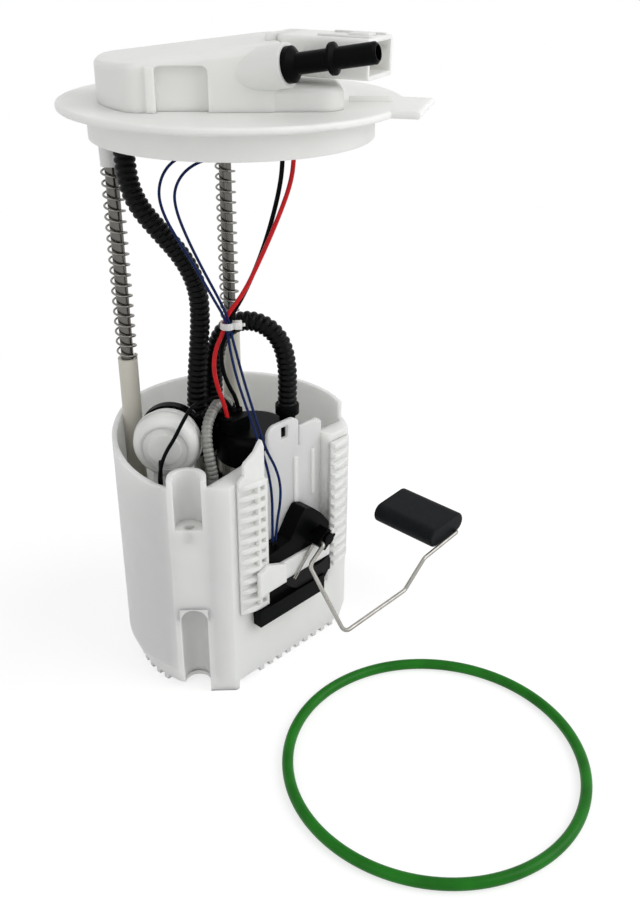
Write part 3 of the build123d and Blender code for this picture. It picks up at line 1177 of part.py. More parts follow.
NODES = {
    "flange_disc": lambda: make_flange_disc(FLANGE),
    "flange_skirt": lambda: FLANGE & skirt_ring(),
    "flange_housing": lambda: make_flange_housing(FLANGE),
    "connector_shell": lambda: make_connector_shell(FLANGE),
    "outlet_nipple": make_outlet_nipple,
    "nipple_seal": make_nipple_seal,
    "connector_terminals": make_terminals,
    "inner_plug": make_inner_plug,
    "guide_rod_left": lambda: make_guide_rod("left"),
    "guide_rod_back": lambda: make_guide_rod("back"),
    "rod_stop_rings": make_rod_rings,
    "guide_tube_left": lambda: make_guide_tube("left"),
    "guide_tube_back": lambda: make_guide_tube("back"),
    "spring_left": lambda: make_spring("left"),
    "spring_back": lambda: make_spring("back"),
    "reservoir_cup": make_reservoir_cup,
    "sender_rail_left": make_left_rail,
    "sender_rail_right": make_right_rail,
    "reservoir_foot": make_foot,
    "inlet_valve": make_inlet_valve,
    "inlet_strainer": make_strainer,
    "pump_can": make_pump_can,
    "pump_end_cap": make_pump_cap,
    "pump_inlet_cover": make_inlet_cover,
    "pump_magnets": make_magnets,
    "pump_armature": make_armature,
    "pump_shaft": make_pump_shaft,
    "pump_impeller": make_impeller,
    "pump_sleeve": make_pump_sleeve,
    "lead_plug": make_lead_plug,
    "filter_drum": make_filter_drum,
    "filter_cap": make_filter_cap,
    "filter_element": make_filter_element,
    "filter_strap": make_filter_strap,
    "filter_stand": make_filter_stand,
    "hose_manifold": make_manifold,
    "pressure_regulator": make_regulator,
    "jet_pump": make_jet_pump,
    "sender_housing": make_sender_housing,
    "resistor_card": make_resistor_card,
    "sender_bracket": make_sender_bracket,
    "rotor_clip": make_rotor_clip,
    "sender_rotor": make_rotor,
    "wiper": make_wiper,
    "float_wire": make_float_wire,
    "float": make_float,
    "seal_ring": make_seal_ring,
    "supply_hose": lambda: cord("supply_hose", hung_route(SUPPLY_ROUTE, HOSE_ANCHOR), HOSE_RADIUS, HOSE_BORE),
    "pump_hose": lambda: cord("pump_hose", PUMP_ROUTE, HOSE_RADIUS, HOSE_BORE),
    "jet_tube": lambda: cord("jet_tube", JET_ROUTE, JET_TUBE_RADIUS),
    "red_lead": lambda: cord("red_lead", hung_route(RED_ROUTE, LEAD_ANCHOR), POWER_LEAD_RADIUS),
    "black_lead": lambda: cord("black_lead", hung_route(BLACK_ROUTE, LEAD_ANCHOR), POWER_LEAD_RADIUS),
    "blue_lead_a": lambda: cord("blue_lead_a", hung_route(BLUE_A_ROUTE, LEAD_ANCHOR), SENDER_LEAD_RADIUS),
    "blue_lead_b": lambda: cord("blue_lead_b", hung_route(BLUE_B_ROUTE, LEAD_ANCHOR), SENDER_LEAD_RADIUS),
    "bond_lead": lambda: cord("bond_lead", BOND_ROUTE, BOND_LEAD_RADIUS),
    "lead_tie": make_wire_tie,
}

for node, make in NODES.items():
    export_step(make(), f"parts/{node}.step")
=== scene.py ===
"""Looks of an in-tank fuel pump module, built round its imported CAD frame."""

import json
import math

import bmesh
import bpy
from mathutils import Matrix, Vector


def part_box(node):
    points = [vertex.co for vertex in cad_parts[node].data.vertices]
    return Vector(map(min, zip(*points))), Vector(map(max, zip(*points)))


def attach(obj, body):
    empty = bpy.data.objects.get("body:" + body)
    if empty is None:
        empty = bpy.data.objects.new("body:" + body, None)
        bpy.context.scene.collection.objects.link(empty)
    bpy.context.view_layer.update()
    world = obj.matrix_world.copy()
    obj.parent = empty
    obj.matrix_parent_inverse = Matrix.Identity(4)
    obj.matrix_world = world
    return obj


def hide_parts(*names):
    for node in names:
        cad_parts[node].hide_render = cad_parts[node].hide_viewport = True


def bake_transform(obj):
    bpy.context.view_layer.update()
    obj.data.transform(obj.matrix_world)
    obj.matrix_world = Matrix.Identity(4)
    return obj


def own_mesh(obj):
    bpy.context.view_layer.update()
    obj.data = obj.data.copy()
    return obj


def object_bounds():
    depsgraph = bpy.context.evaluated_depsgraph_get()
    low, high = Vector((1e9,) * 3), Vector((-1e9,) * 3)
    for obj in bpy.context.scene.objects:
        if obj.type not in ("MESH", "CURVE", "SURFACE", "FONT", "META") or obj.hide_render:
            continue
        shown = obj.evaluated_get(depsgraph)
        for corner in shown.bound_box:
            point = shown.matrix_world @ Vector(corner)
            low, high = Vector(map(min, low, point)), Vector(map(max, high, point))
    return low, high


bl_info = {
    "name": "Fuel pump module looks",
    "version": (1, 0, 0),
    "blender": (4, 5, 0),
    "location": "View3D > Sidebar > Pump",
    "description": "Dresses the packed fuel pump module with hoses, leads, springs, moulded details "
                   "and finishes",
    "category": "Object",
}

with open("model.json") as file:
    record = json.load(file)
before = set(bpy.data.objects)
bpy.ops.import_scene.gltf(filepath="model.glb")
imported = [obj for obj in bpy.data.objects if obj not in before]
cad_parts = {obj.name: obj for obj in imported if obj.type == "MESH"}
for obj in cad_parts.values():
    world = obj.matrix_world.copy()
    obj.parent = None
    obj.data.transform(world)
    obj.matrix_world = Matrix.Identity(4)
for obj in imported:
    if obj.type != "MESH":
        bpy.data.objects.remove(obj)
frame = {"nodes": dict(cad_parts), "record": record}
CAD_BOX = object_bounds()
NODES = frame["nodes"]
MM = 0.001

# Sizes and places are in millimetres and heights from the floor, as in the part's source, unless noted
SEAT_HEIGHT = 274.5

# Routes of the hoses and leads: X, Y and height
SUPPLY_ROUTE = [(-34.6, 31.1, 262.2), (-34.9, 31.3, 247.0), (-32.0, 28.8, 233.0), (-24.0, 24.2, 220.5),
                (-14.6, 19.6, 207.0), (-9.2, 17.2, 192.5), (-8.2, 17.6, 178.0), (-9.2, 18.6, 163.0),
                (-11.0, 19.3, 146.0), (-12.0, 19.5, 131.0), (-12.0, 19.5, 120.3)]
PUMP_ROUTE = [(0.5, 21.0, 120.3), (0.6, 21.2, 132.0), (0.9, 20.7, 146.0), (1.6, 19.4, 158.0),
              (3.6, 16.2, 167.4), (7.4, 10.0, 173.4), (12.2, 2.2, 174.6), (16.8, -5.2, 170.6),
              (19.6, -9.8, 162.6), (20.4, -11.6, 151.0), (19.8, -12.0, 139.0), (19.5, -12.0, 128.3)]
RED_ROUTE = [(22.5, -14.2, 259.2), (22.0, -15.0, 251.5), (19.5, -15.2, 240.5), (13.8, -12.6, 225.5),
             (6.6, -8.2, 207.5), (-0.3, -3.9, 192.0), (-7.3, 1.1, 181.6), (-8.2, 1.4, 174.6),
             (-11.6, 3.6, 167.0), (-13.4, 3.9, 157.0), (-12.6, 2.0, 147.0), (-11.2, -0.8, 138.6),
             (-10.6, -2.0, 131.3)]
BLACK_ROUTE = [(18.8, -10.8, 259.2), (19.0, -11.2, 250.0), (17.0, -9.8, 234.4), (10.8, -6.4, 211.4),
               (2.4, -1.9, 191.0), (-4.8, 0.1, 181.6), (-6.0, 0.6, 174.6), (-7.2, 5.0, 165.5),
               (-6.6, 5.4, 154.0), (-3.6, 4.2, 144.4), (-0.8, 2.6, 138.0), (0.2, 2.0, 131.3)]
BLUE_A_ROUTE = [(10.6, -3.4, 259.2), (8.4, -2.4, 253.6), (1.8, 1.2, 250.2), (-8.0, 6.2, 252.6),
                (-18.0, 11.0, 255.0), (-26.4, 13.8, 250.4), (-30.4, 15.2, 241.2), (-29.4, 14.0, 231.2),
                (-25.0, 10.4, 219.5), (-19.4, 5.6, 206.5), (-13.6, 1.6, 192.0), (-8.7, -0.6, 181.6),
                (-8.1, -1.2, 174.6), (-9.6, -4.2, 167.0), (-10.4, -9.0, 155.0), (-11.4, -16.0, 143.3),
                (-12.6, -22.6, 134.0), (-13.2, -28.4, 124.5), (-11.6, -31.0, 112.5), (-10.8, -32.0, 100.0),
                (-11.2, -32.2, 87.0), (-11.4, -32.4, 73.6)]
BLUE_B_ROUTE = [(14.2, -6.8, 259.2), (12.6, -6.6, 254.0), (6.0, -3.8, 251.0), (-3.0, 0.4, 252.4),
                (-12.0, 4.8, 253.0), (-20.0, 9.4, 248.6), (-24.4, 11.6, 241.0), (-24.2, 11.6, 232.6),
                (-21.2, 9.0, 220.5), (-16.4, 4.9, 205.8), (-10.8, 0.6, 191.0), (-7.3, -1.0, 181.6),
                (-6.6, -1.8, 174.6), (-7.2, -6.2, 164.5), (-8.0, -11.4, 153.4), (-9.2, -17.8, 142.5),
                (-10.4, -23.6, 133.4), (-10.6, -28.4, 124.0), (-7.4, -31.0, 115.4), (-5.6, -32.4, 106.0),
                (-6.2, -32.8, 96.0), (-8.6, -32.6, 86.0), (-9.6, -32.4, 73.8)]
JET_ROUTE = [(1.0, 10.5, 128.3), (0.6, 10.4, 133.2), (-4.1, 9.4, 136.0), (-10.4, 6.2, 136.6),
             (-16.8, 3.0, 134.9), (-21.4, 0.5, 131.9), (-24.5, -2.2, 128.6), (-26.0, -4.2, 123.7),
             (-26.4, -5.8, 118.0), (-26.3, -7.3, 112.0), (-26.3, -8.2, 104.0), (-26.6, -8.4, 88.0),
             (-27.0, -8.5, 66.0), (-27.0, -8.5, 40.3)]
BOND_ROUTE = [(-44.0, 9.0, 117.6), (-45.1, 7.8, 117.0), (-45.5, 7.5, 112.6), (-45.8, 7.3, 108.8),
              (-46.6, 6.5, 106.2), (-48.9, 4.2, 106.2), (-49.9, 3.0, 109.6), (-49.3, 3.2, 114.4),
              (-47.6, 3.6, 119.6), (-44.6, 3.3, 125.0), (-40.6, 1.9, 130.4), (-35.8, 0.6, 138.6),
              (-31.0, 0.8, 143.0), (-26.0, 1.9, 143.8), (-19.6, 2.4, 143.2), (-12.0, 3.6, 142.2),
              (-6.0, 4.2, 138.6), (-2.8, 2.8, 131.3)]

# Heights meant to mark where a lead or hose passes from the reservoir to the flange. Only whether they are
# given is read: a cord that has them is baked in place unattached, and one without is attached to the
# reservoir
LEAD_BEND = (131.0, 255.0)
HOSE_BEND = (121.0, 258.0)

# Facets of the cords
HOSE_SIDES = 28
TUBE_SIDES = 20
LEAD_SIDES = 14
LEAD_PITCH = 8.0           # takes the place of a rib's pitch on a smooth lead
RIB_RINGS = 8              # rings of facets along each rib
RIB_ROUND = 0.6            # below one, the ribs have broad backs and narrow grooves
CURVE_STEPS = 12

# Lead tie: its band as radii, edges and lip, then its head and its cut tail
TIE_PLACE = (-7.0, 0.0)
TIE_TURN = math.radians(-42.0)
TIE_BAND = (2.75, 3.5, -1.6, 1.6, 0.2)
TIE_HEAD = (3.6, 4.4, 3.4)
TIE_HEAD_REACH = 4.9
TIE_HEAD_EDGE = 0.4
TIE_TAIL = (2.0, 2.6, 0.9)
TIE_TAIL_REACH = 7.2
TIE_TAIL_EDGE = 0.25
TIE_TAIL_DROP = math.radians(-8.0)

# Collars and seals: inner radius, wall and height
HOSE_COLLAR = (4.8, 1.1, 5.0)
TUBE_COLLAR = (2.75, 0.7, 3.2)
POWER_SEAL = (1.1, 0.7, 1.6)
BOND_SEAL = (0.95, 0.6, 1.4)
SENDER_SEAL = (0.68, 0.25, 2.4)
PLUG_SEAL = (1.1, 0.7, 1.4)
PLUG_FINE_SEAL = (0.7, 0.6, 1.2)
COLLAR_ROUND = 0.3         # share of the wall that its edges are rounded by
COLLAR_SIDES = 32
COLLAR_EDGE_STEPS = 3

# Springs
COIL_STEPS = 28            # facets in a turn
WIRE_SIDES = 10

# Flange, with heights from its seat: ribs under the disc, and the connector's latch ramp and guide ribs as
# their place along, across and above the root, and their size
DISC_RIBS = 24
DISC_RIB_RADIUS = 54.2
DISC_RIB_SIZE = (6.6, 1.2, 5.0)
DISC_RIB_LEVEL = -2.4
PLUG_ROOT = (11.59, -31.96, 22.0)
PLUG_TURN = math.radians(-72.0)
PLUG_RIBS = [(24.0, 0.0, 7.9, (9.0, 7.0, 1.4)),
             (20.0, 8.0, 7.7, (22.0, 1.4, 1.0)), (20.0, -8.0, 7.7, (22.0, 1.4, 1.0)),
             (18.0, 12.2, 2.5, (26.0, 1.2, 1.6)), (18.0, -12.2, 2.5, (26.0, 1.2, 1.6))]
PLUG_RIB_EDGE = 0.3

# Sender: the rotor's stop, and the wiper's strips as their start, end, side and width
STOP_PLACE = (18.3, -44.85, 73.9)
STOP_SIZE = (2.2, 1.1, 1.8)
STOP_LEAN = math.radians(-42.0)
STOP_EDGE = 0.3
PIVOT_PLACE = (15.4, -41.0, 70.9)
WIPER_LEAN = math.radians(-226.0)
WIPER_STRIPS = [(2.6, 13.0, 0.0, 2.6), (12.6, 25.6, 0.75, 0.8), (12.6, 25.6, -0.75, 0.8)]
WIPER_THICK = 0.3
WIPER_EDGE = 0.1

# Filter: the clip's two plates as their angle up the strap, length and thickness, and the drum's beads as
# their radii and edges along the drum
DRUM_PLACE = (-27.3, 20.5, 122.8)
DRUM_TURN = 40.0
STRAP_RADIUS = 15.4
CLIP_PLATES = [(-12.0, 5.0, 0.8), (-14.0, 2.4, 2.2)]
CLIP_WIDTH = 5.0
CLIP_EDGE = 0.2
DRUM_BEADS = [(15.6, 16.6, -10.4, -9.0), (10.6, 11.6, -18.4, -17.6)]
BEAD_LIP = 0.25

# Flat corner of the reservoir and the groove in it, as in the part's source
CUP_MIDDLE = (-3.7, 3.3)
CORNER_TURN = math.radians(226.6)
CORNER_REACH = 50.4
POCKET_SIDE = -19.6
POCKET_RADIUS = 6.4
ARCH_TOP = 50.1
ARCH_DEPTH = 8.4
ARCH_LIP = 0.45            # how far the arch's face reaches past the groove's corners
ARCH_PROUD = 0.02          # how far it stands out from the wall
ARCH_STEPS = 20

# Facets and edges of small shapes
RING_SIDES = 64
BLOCK_EDGE_STEPS = 2
SHARP_EDGE = math.radians(35.0)

# The photograph's camera, fitted to the flange, reservoir and ring, in metres and degrees, with its lens in
# millimetres
CAMERA_PLACE = (-0.29904, -0.33211, 0.06989)
CAMERA_TURN = (61.6817, -0.5273, -46.6659)
CAMERA_LENS = 39.48
CAMERA_NEAR = 0.01

# Lamps, in metres
LAMP_SIDE = 0.9
KEY_PLACE = (0.45, -0.80, 0.50)
KEY_TARGET = (0.0, -0.03, -0.14)
FILL_PLACE = (-0.9, -0.25, 0.35)
FILL_TARGET = (0.0, 0.0, -0.14)

# The floor, in metres: plain white far from the module, and round it partly lit, so that it takes the shadow
FLOOR_MIDDLE = (0.0, -0.05)
FLOOR_NEAR = 0.16
FLOOR_FAR = 0.50
FLOOR_GLOW = 0.5           # share of plain white round the module
FLOOR_LIFT = 1.35          # strength of that white, so that the floor out of the shadow is white
FLOOR_TONE = 0.86
FLOOR_ROUGHNESS = 0.9

# Finishes: what mouldings, drawn metal and lead insulation have in common
MOULDED = {"vary": 0.02, "roughness": (0.36, 0.48), "grain": (40.0, 900.0), "relief": 0.00003}
DRAWN = {"vary": 0.18, "grain": (150.0, 2600.0), "relief": 0.00001, "metallic": 1.0, "stretch": (1, 1, 0.08)}
INSULATION = {"grain": (200.0, 1600.0), "relief": 0.00001}
FLUSH_TINT = 0.89          # shares of a colour that darker finishes keep
ROD_TINT = 0.4
SPRING_TINT = 0.72
BROAD_DETAIL = 3.0
FINE_DETAIL = 4.0
NOISE_RANGE = (0.3, 0.7)   # most of a noise lies between these
UNDER_RADIUS = (1.0, 1.0, 0.97)
RELIEF_STRENGTH = 0.35
EDGE_SAMPLES = 4

# Nodes whose finish isn't that of their slot
OWN_FINISH = {"guide_rod_left": "rod_steel", "guide_rod_back": "rod_steel", "reservoir_cup": "thin_acetal"}

FINISHES = {}
TREES = {}


class FinishColours(bpy.types.PropertyGroup):
    """Colours of the module's materials."""
    acetal: bpy.props.FloatVectorProperty(
        name="Natural acetal", description="White moulded plastic", subtype="COLOR", size=3,
        min=0.0, max=1.0, default=(0.845, 0.85, 0.825))
    black: bpy.props.FloatVectorProperty(
        name="Black plastic", description="Pump cap, sender housing and nipple", subtype="COLOR", size=3,
        min=0.0, max=1.0, default=(0.0014, 0.0016, 0.0018))
    hose: bpy.props.FloatVectorProperty(
        name="Hose", description="Corrugated hoses", subtype="COLOR", size=3,
        min=0.0, max=1.0, default=(0.0012, 0.0014, 0.0016))
    seal: bpy.props.FloatVectorProperty(
        name="Tank seal", description="Green rubber ring", subtype="COLOR", size=3,
        min=0.0, max=1.0, default=(0.010, 0.150, 0.008))
    red: bpy.props.FloatVectorProperty(
        name="Red lead", description="Power lead", subtype="COLOR", size=3,
        min=0.0, max=1.0, default=(0.56, 0.006, 0.010))
    blue: bpy.props.FloatVectorProperty(
        name="Blue leads", description="Sender leads", subtype="COLOR", size=3,
        min=0.0, max=1.0, default=(0.003, 0.013, 0.074))
    steel: bpy.props.FloatVectorProperty(
        name="Steel", description="Rods, springs and float wire", subtype="COLOR", size=3,
        min=0.0, max=1.0, default=(0.34, 0.33, 0.305))
    nylon: bpy.props.FloatVectorProperty(
        name="Ribbed tube", description="Grey translucent tube", subtype="COLOR", size=3,
        min=0.0, max=1.0, default=(0.26, 0.26, 0.245))
    foam: bpy.props.FloatVectorProperty(
        name="Float", description="Black closed-cell float", subtype="COLOR", size=3,
        min=0.0, max=1.0, default=(0.0035, 0.0045, 0.006))


class CordSizes(bpy.types.PropertyGroup):
    """Sizes of what follows a path."""
    hose_radius: bpy.props.FloatProperty(
        name="Hose radius", description="Outer radius over the ribs", unit="LENGTH", default=4.75 * MM)
    hose_pitch: bpy.props.FloatProperty(
        name="Hose pitch", description="Distance between ribs", unit="LENGTH", default=2.9 * MM)
    hose_depth: bpy.props.FloatProperty(
        name="Hose groove", description="Depth of the grooves", unit="LENGTH", default=1.1 * MM)
    jet_radius: bpy.props.FloatProperty(
        name="Ribbed tube radius", description="Outer radius over the ribs", unit="LENGTH", default=2.7 * MM)
    jet_pitch: bpy.props.FloatProperty(
        name="Ribbed tube pitch", description="Distance between ribs", unit="LENGTH", default=2.2 * MM)
    jet_depth: bpy.props.FloatProperty(
        name="Ribbed tube groove", description="Depth of the grooves", unit="LENGTH", default=0.6 * MM)
    power_radius: bpy.props.FloatProperty(
        name="Power lead radius", description="Red and black leads", unit="LENGTH", default=1.05 * MM)
    sender_radius: bpy.props.FloatProperty(
        name="Sender lead radius", description="Blue leads", unit="LENGTH", default=0.65 * MM)
    bond_radius: bpy.props.FloatProperty(
        name="Bond lead radius", description="Black lead to the filter", unit="LENGTH", default=0.9 * MM)
    spring_wire: bpy.props.FloatProperty(
        name="Spring wire radius", description="Round spring wire", unit="LENGTH", default=0.5 * MM)
    spring_turns: bpy.props.IntProperty(
        name="Spring turns", description="Turns of each spring", default=18, min=2)


class StageSettings(bpy.types.PropertyGroup):
    """Floor and lamps."""
    floor_size: bpy.props.FloatProperty(
        name="Floor size", description="Side of the floor", unit="LENGTH", default=4.0)
    world_light: bpy.props.FloatProperty(
        name="Surrounding light", description="Even light from all round", default=0.57, min=0.0)
    key_power: bpy.props.FloatProperty(
        name="Key lamp", description="Large lamp at the upper right", unit="POWER", default=6.0)
    fill_power: bpy.props.FloatProperty(
        name="Fill lamp", description="Large lamp at the left", unit="POWER", default=1.2)


def at(x, y, height):
    """Row-frame point in metres of a place in millimetres and a height above the floor."""
    return Vector((x * MM, y * MM, (height - SEAT_HEIGHT) * MM))


def metres(values):
    """Metres from millimetres."""
    return [value * MM for value in values]


def link(obj):
    bpy.context.scene.collection.objects.link(obj)
    return obj


# Materials

def new_material(name):
    """Node material, with its tree and its Principled shader."""
    material = bpy.data.materials.new(name)
    material.use_nodes = True
    tree = material.node_tree
    return material, tree, tree.nodes["Principled BSDF"]


def noise(tree, coords, scale, detail, stretch):
    """Noise on the piece's own coordinates, in features per metre."""
    node = tree.nodes.new("ShaderNodeTexNoise")
    node.inputs["Scale"].default_value = scale
    node.inputs["Detail"].default_value = detail
    source = coords.outputs["Object"]
    if stretch:
        mapping = tree.nodes.new("ShaderNodeMapping")
        mapping.inputs["Scale"].default_value = stretch
        tree.links.new(source, mapping.inputs["Vector"])
        source = mapping.outputs["Vector"]
    tree.links.new(source, node.inputs["Vector"])
    return node.outputs["Fac"]


def spread(tree, fac, low, high, middle=NOISE_RANGE):
    """Number that goes from low to high as another crosses its middle range."""
    node = tree.nodes.new("ShaderNodeMapRange")
    node.inputs["From Min"].default_value = middle[0]
    node.inputs["From Max"].default_value = middle[1]
    node.inputs["To Min"].default_value = low
    node.inputs["To Max"].default_value = high
    tree.links.new(fac, node.inputs["Value"])
    return node.outputs["Result"]


def two_tone(tree, fac, first, second):
    """Colour between two tones."""
    node = tree.nodes.new("ShaderNodeMix")
    node.data_type = "RGBA"
    tones = {"A_Color": first, "B_Color": second}
    for socket in node.inputs:
        if socket.identifier in tones:
            socket.default_value = (*tones[socket.identifier], 1.0)
    tree.links.new(fac, node.inputs["Factor"])
    return next(socket for socket in node.outputs if socket.identifier == "Result_Color")


def bump(tree, shader, height, relief, edge):
    """Fine relief on the surface, over edges rounded by a radius where one is given."""
    node = tree.nodes.new("ShaderNodeBump")
    if edge:
        rounded = tree.nodes.new("ShaderNodeBevel")
        rounded.samples = EDGE_SAMPLES
        rounded.inputs["Radius"].default_value = edge
        tree.links.new(rounded.outputs["Normal"], node.inputs["Normal"])
    node.inputs["Strength"].default_value = RELIEF_STRENGTH
    node.inputs["Distance"].default_value = relief
    tree.links.new(height, node.inputs["Height"])
    tree.links.new(node.outputs["Normal"], shader.inputs["Normal"])


def surface(name, colour, vary, roughness, grain, relief, metallic=0.0, stretch=None, coat=0.0,
            under=0.0, depth=5.0, specular=0.5, edge=0.0):
    """Finish with a softly varied colour, a roughness and relief from a finer noise, and softened edges."""
    material, tree, shader = new_material(name)
    coords = tree.nodes.new("ShaderNodeTexCoord")
    broad = noise(tree, coords, grain[0], BROAD_DETAIL, stretch)
    fine = noise(tree, coords, grain[1], FINE_DETAIL, stretch)
    low = [max(0.0, c * (1.0 - vary)) for c in colour]
    high = [min(1.0, c * (1.0 + vary)) for c in colour]
    tone = spread(tree, broad, 0.0, 1.0)
    tree.links.new(two_tone(tree, tone, low, high), shader.inputs["Base Color"])
    tree.links.new(spread(tree, fine, roughness[0], roughness[1]), shader.inputs["Roughness"])
    shader.inputs["Metallic"].default_value = metallic
    shader.inputs["Specular IOR Level"].default_value = specular
    shader.inputs["Coat Weight"].default_value = coat
    shader.inputs["Subsurface Weight"].default_value = under
    shader.inputs["Subsurface Radius"].default_value = UNDER_RADIUS
    shader.inputs["Subsurface Scale"].default_value = depth * MM
    bump(tree, shader, fine, relief, edge)
    return material


def tinted(colour, share):
    return tuple(channel * share for channel in colour)


def make_finishes(colours):
    """One material for each of the record's slots, and those of the pieces with a finish of their own."""
    acetal, black, steel = tuple(colours.acetal), tuple(colours.black), tuple(colours.steel)
    FINISHES.update({
        "natural_acetal": surface("natural_acetal", acetal, **MOULDED, under=0.7, edge=0.35 * MM),
        "thin_acetal": surface("thin_acetal", acetal, **MOULDED, under=1.0, depth=10.0, edge=0.35 * MM),
        "flush_acetal": surface("flush_acetal", tinted(acetal, FLUSH_TINT), **MOULDED),
        "guide_tube_plastic": surface(
            "drawn_tube", (0.64, 0.62, 0.54), vary=0.04, roughness=(0.40, 0.52), grain=(60.0, 1100.0),
            relief=0.00003, stretch=(1, 1, 0.1), under=0.12, edge=0.3 * MM),
        "black_plastic": surface(
            "black_plastic", black, vary=0.3, roughness=(0.30, 0.46), grain=(120.0, 2200.0), relief=0.00004,
            specular=0.045, edge=0.3 * MM),
        "hose_plastic": surface(
            "hose_plastic", tuple(colours.hose), vary=0.25, roughness=(0.30, 0.42), grain=(200.0, 1800.0),
            relief=0.00002, specular=0.1),
        "steel": surface("drawn_steel", steel, **DRAWN, roughness=(0.22, 0.36)),
        "rod_steel": surface("ground_steel", tinted(steel, ROD_TINT), **DRAWN, roughness=(0.20, 0.32)),
        "spring_steel": surface(
            "spring_steel", tinted(steel, SPRING_TINT), vary=0.2, roughness=(0.24, 0.38),
            grain=(400.0, 3000.0), relief=0.00001, metallic=1.0),
        "terminal_brass": surface(
            "terminal_brass", (0.52, 0.42, 0.22), vary=0.12, roughness=(0.22, 0.36), grain=(300.0, 2600.0),
            relief=0.00001, metallic=1.0),
        "clear_nylon": surface(
            "clear_nylon", tuple(colours.nylon), vary=0.2, roughness=(0.18, 0.30), grain=(250.0, 1500.0),
            relief=0.00002, under=0.1, coat=0.3),
        "float_foam": surface(
            "float_foam", tuple(colours.foam), vary=0.3, roughness=(0.5, 0.66), grain=(300.0, 3200.0),
            relief=0.00008, specular=0.12),
        "black_rubber": surface(
            "black_rubber", black, vary=0.25, roughness=(0.5, 0.64), grain=(200.0, 2500.0), relief=0.00004,
            specular=0.1),
        "green_rubber": surface(
            "green_rubber", tuple(colours.seal), vary=0.2, roughness=(0.30, 0.44), grain=(70.0, 1600.0),
            relief=0.00003, specular=0.12, coat=0.05),
        "filter_paper": surface(
            "filter_paper", (0.72, 0.66, 0.50), vary=0.1, roughness=(0.75, 0.9), grain=(200.0, 2400.0),
            relief=0.00006),
        # The card's near-black colour is painted shade: it is darkened to stand for the shadow round the
        # sender's black parts under the white bracket
        "card_board": surface(
            "resistor_card", (0.004, 0.004, 0.0045), vary=0.3, roughness=(0.4, 0.55), grain=(150.0, 1800.0),
            relief=0.00003, specular=0.1),
        "magnet_iron": surface(
            "magnet_iron", (0.10, 0.10, 0.105), vary=0.2, roughness=(0.5, 0.65), grain=(250.0, 2400.0),
            relief=0.00005, metallic=0.6),
        "red_insulation": surface(
            "red_insulation", tuple(colours.red), **INSULATION, vary=0.12, roughness=(0.26, 0.38),
            specular=0.2),
        "black_insulation": surface(
            "black_insulation", black, **INSULATION, vary=0.25, roughness=(0.30, 0.42), specular=0.05),
        "blue_insulation": surface(
            "blue_insulation", tuple(colours.blue), **INSULATION, vary=0.15, roughness=(0.26, 0.38),
            specular=0.1),
    })


# Geometry Nodes helpers

def new_tree(name, inputs):
    """Geometry tree with a geometry input and output and named size inputs."""
    tree = bpy.data.node_groups.new(name, "GeometryNodeTree")
    tree.interface.new_socket("Geometry", in_out="INPUT", socket_type="NodeSocketGeometry")
    for label, kind in inputs:
        tree.interface.new_socket(label, in_out="INPUT", socket_type=kind)
    tree.interface.new_socket("Geometry", in_out="OUTPUT", socket_type="NodeSocketGeometry")
    return tree, tree.nodes.new("NodeGroupInput"), tree.nodes.new("NodeGroupOutput")


def maths(tree, operation, *values):
    """Math node fed with sockets or numbers."""
    node = tree.nodes.new("ShaderNodeMath")
    node.operation = operation
    for socket, value in zip(node.inputs, values):
        if isinstance(value, (int, float)):
            socket.default_value = value
        else:
            tree.links.new(value, socket)
    return node.outputs["Value"]


def smoothed(tree, mesh):
    """Smooth shading for round shapes."""
    node = tree.nodes.new("GeometryNodeSetShadeSmooth")
    tree.links.new(mesh, node.inputs["Geometry"])
    return node.outputs["Geometry"]


def finish_tree(tree, source, mesh, out):
    """Real geometry and the material, which every tree ends in."""
    real = tree.nodes.new("GeometryNodeRealizeInstances")
    paint = tree.nodes.new("GeometryNodeSetMaterial")
    tree.links.new(mesh, real.inputs["Geometry"])
    tree.links.new(real.outputs["Geometry"], paint.inputs["Geometry"])
    tree.links.new(source.outputs["Material"], paint.inputs["Material"])
    tree.links.new(paint.outputs["Geometry"], out.inputs["Geometry"])


def tree_for(build):
    """Each tree is built once."""
    if build not in TREES:
        TREES[build] = build()
    return TREES[build]


def evaluated_mesh(obj):
    depsgraph = bpy.context.evaluated_depsgraph_get()
    return bpy.data.meshes.new_from_object(obj.evaluated_get(depsgraph), depsgraph=depsgraph)


def grow(name, holder, build, values):
    """Runs a tree on an object and keeps the result as a plain mesh piece."""
    tree = tree_for(build)
    modifier = holder.modifiers.new("grow", "NODES")
    modifier.node_group = tree
    sockets = {item.name: item.identifier for item in tree.interface.items_tree if item.in_out == "INPUT"}
    for label, value in values.items():
        modifier[sockets[label]] = value
    mesh = evaluated_mesh(holder)
    mesh.name = name
    holder.modifiers.remove(modifier)
    bpy.data.objects.remove(holder)
    return link(bpy.data.objects.new(name, mesh))


def spots(points=()):
    """Object for a tree to run on, with nothing but points."""
    mesh = bpy.data.meshes.new("spots")
    mesh.from_pydata(points, [], [])
    return link(bpy.data.objects.new("spots", mesh))


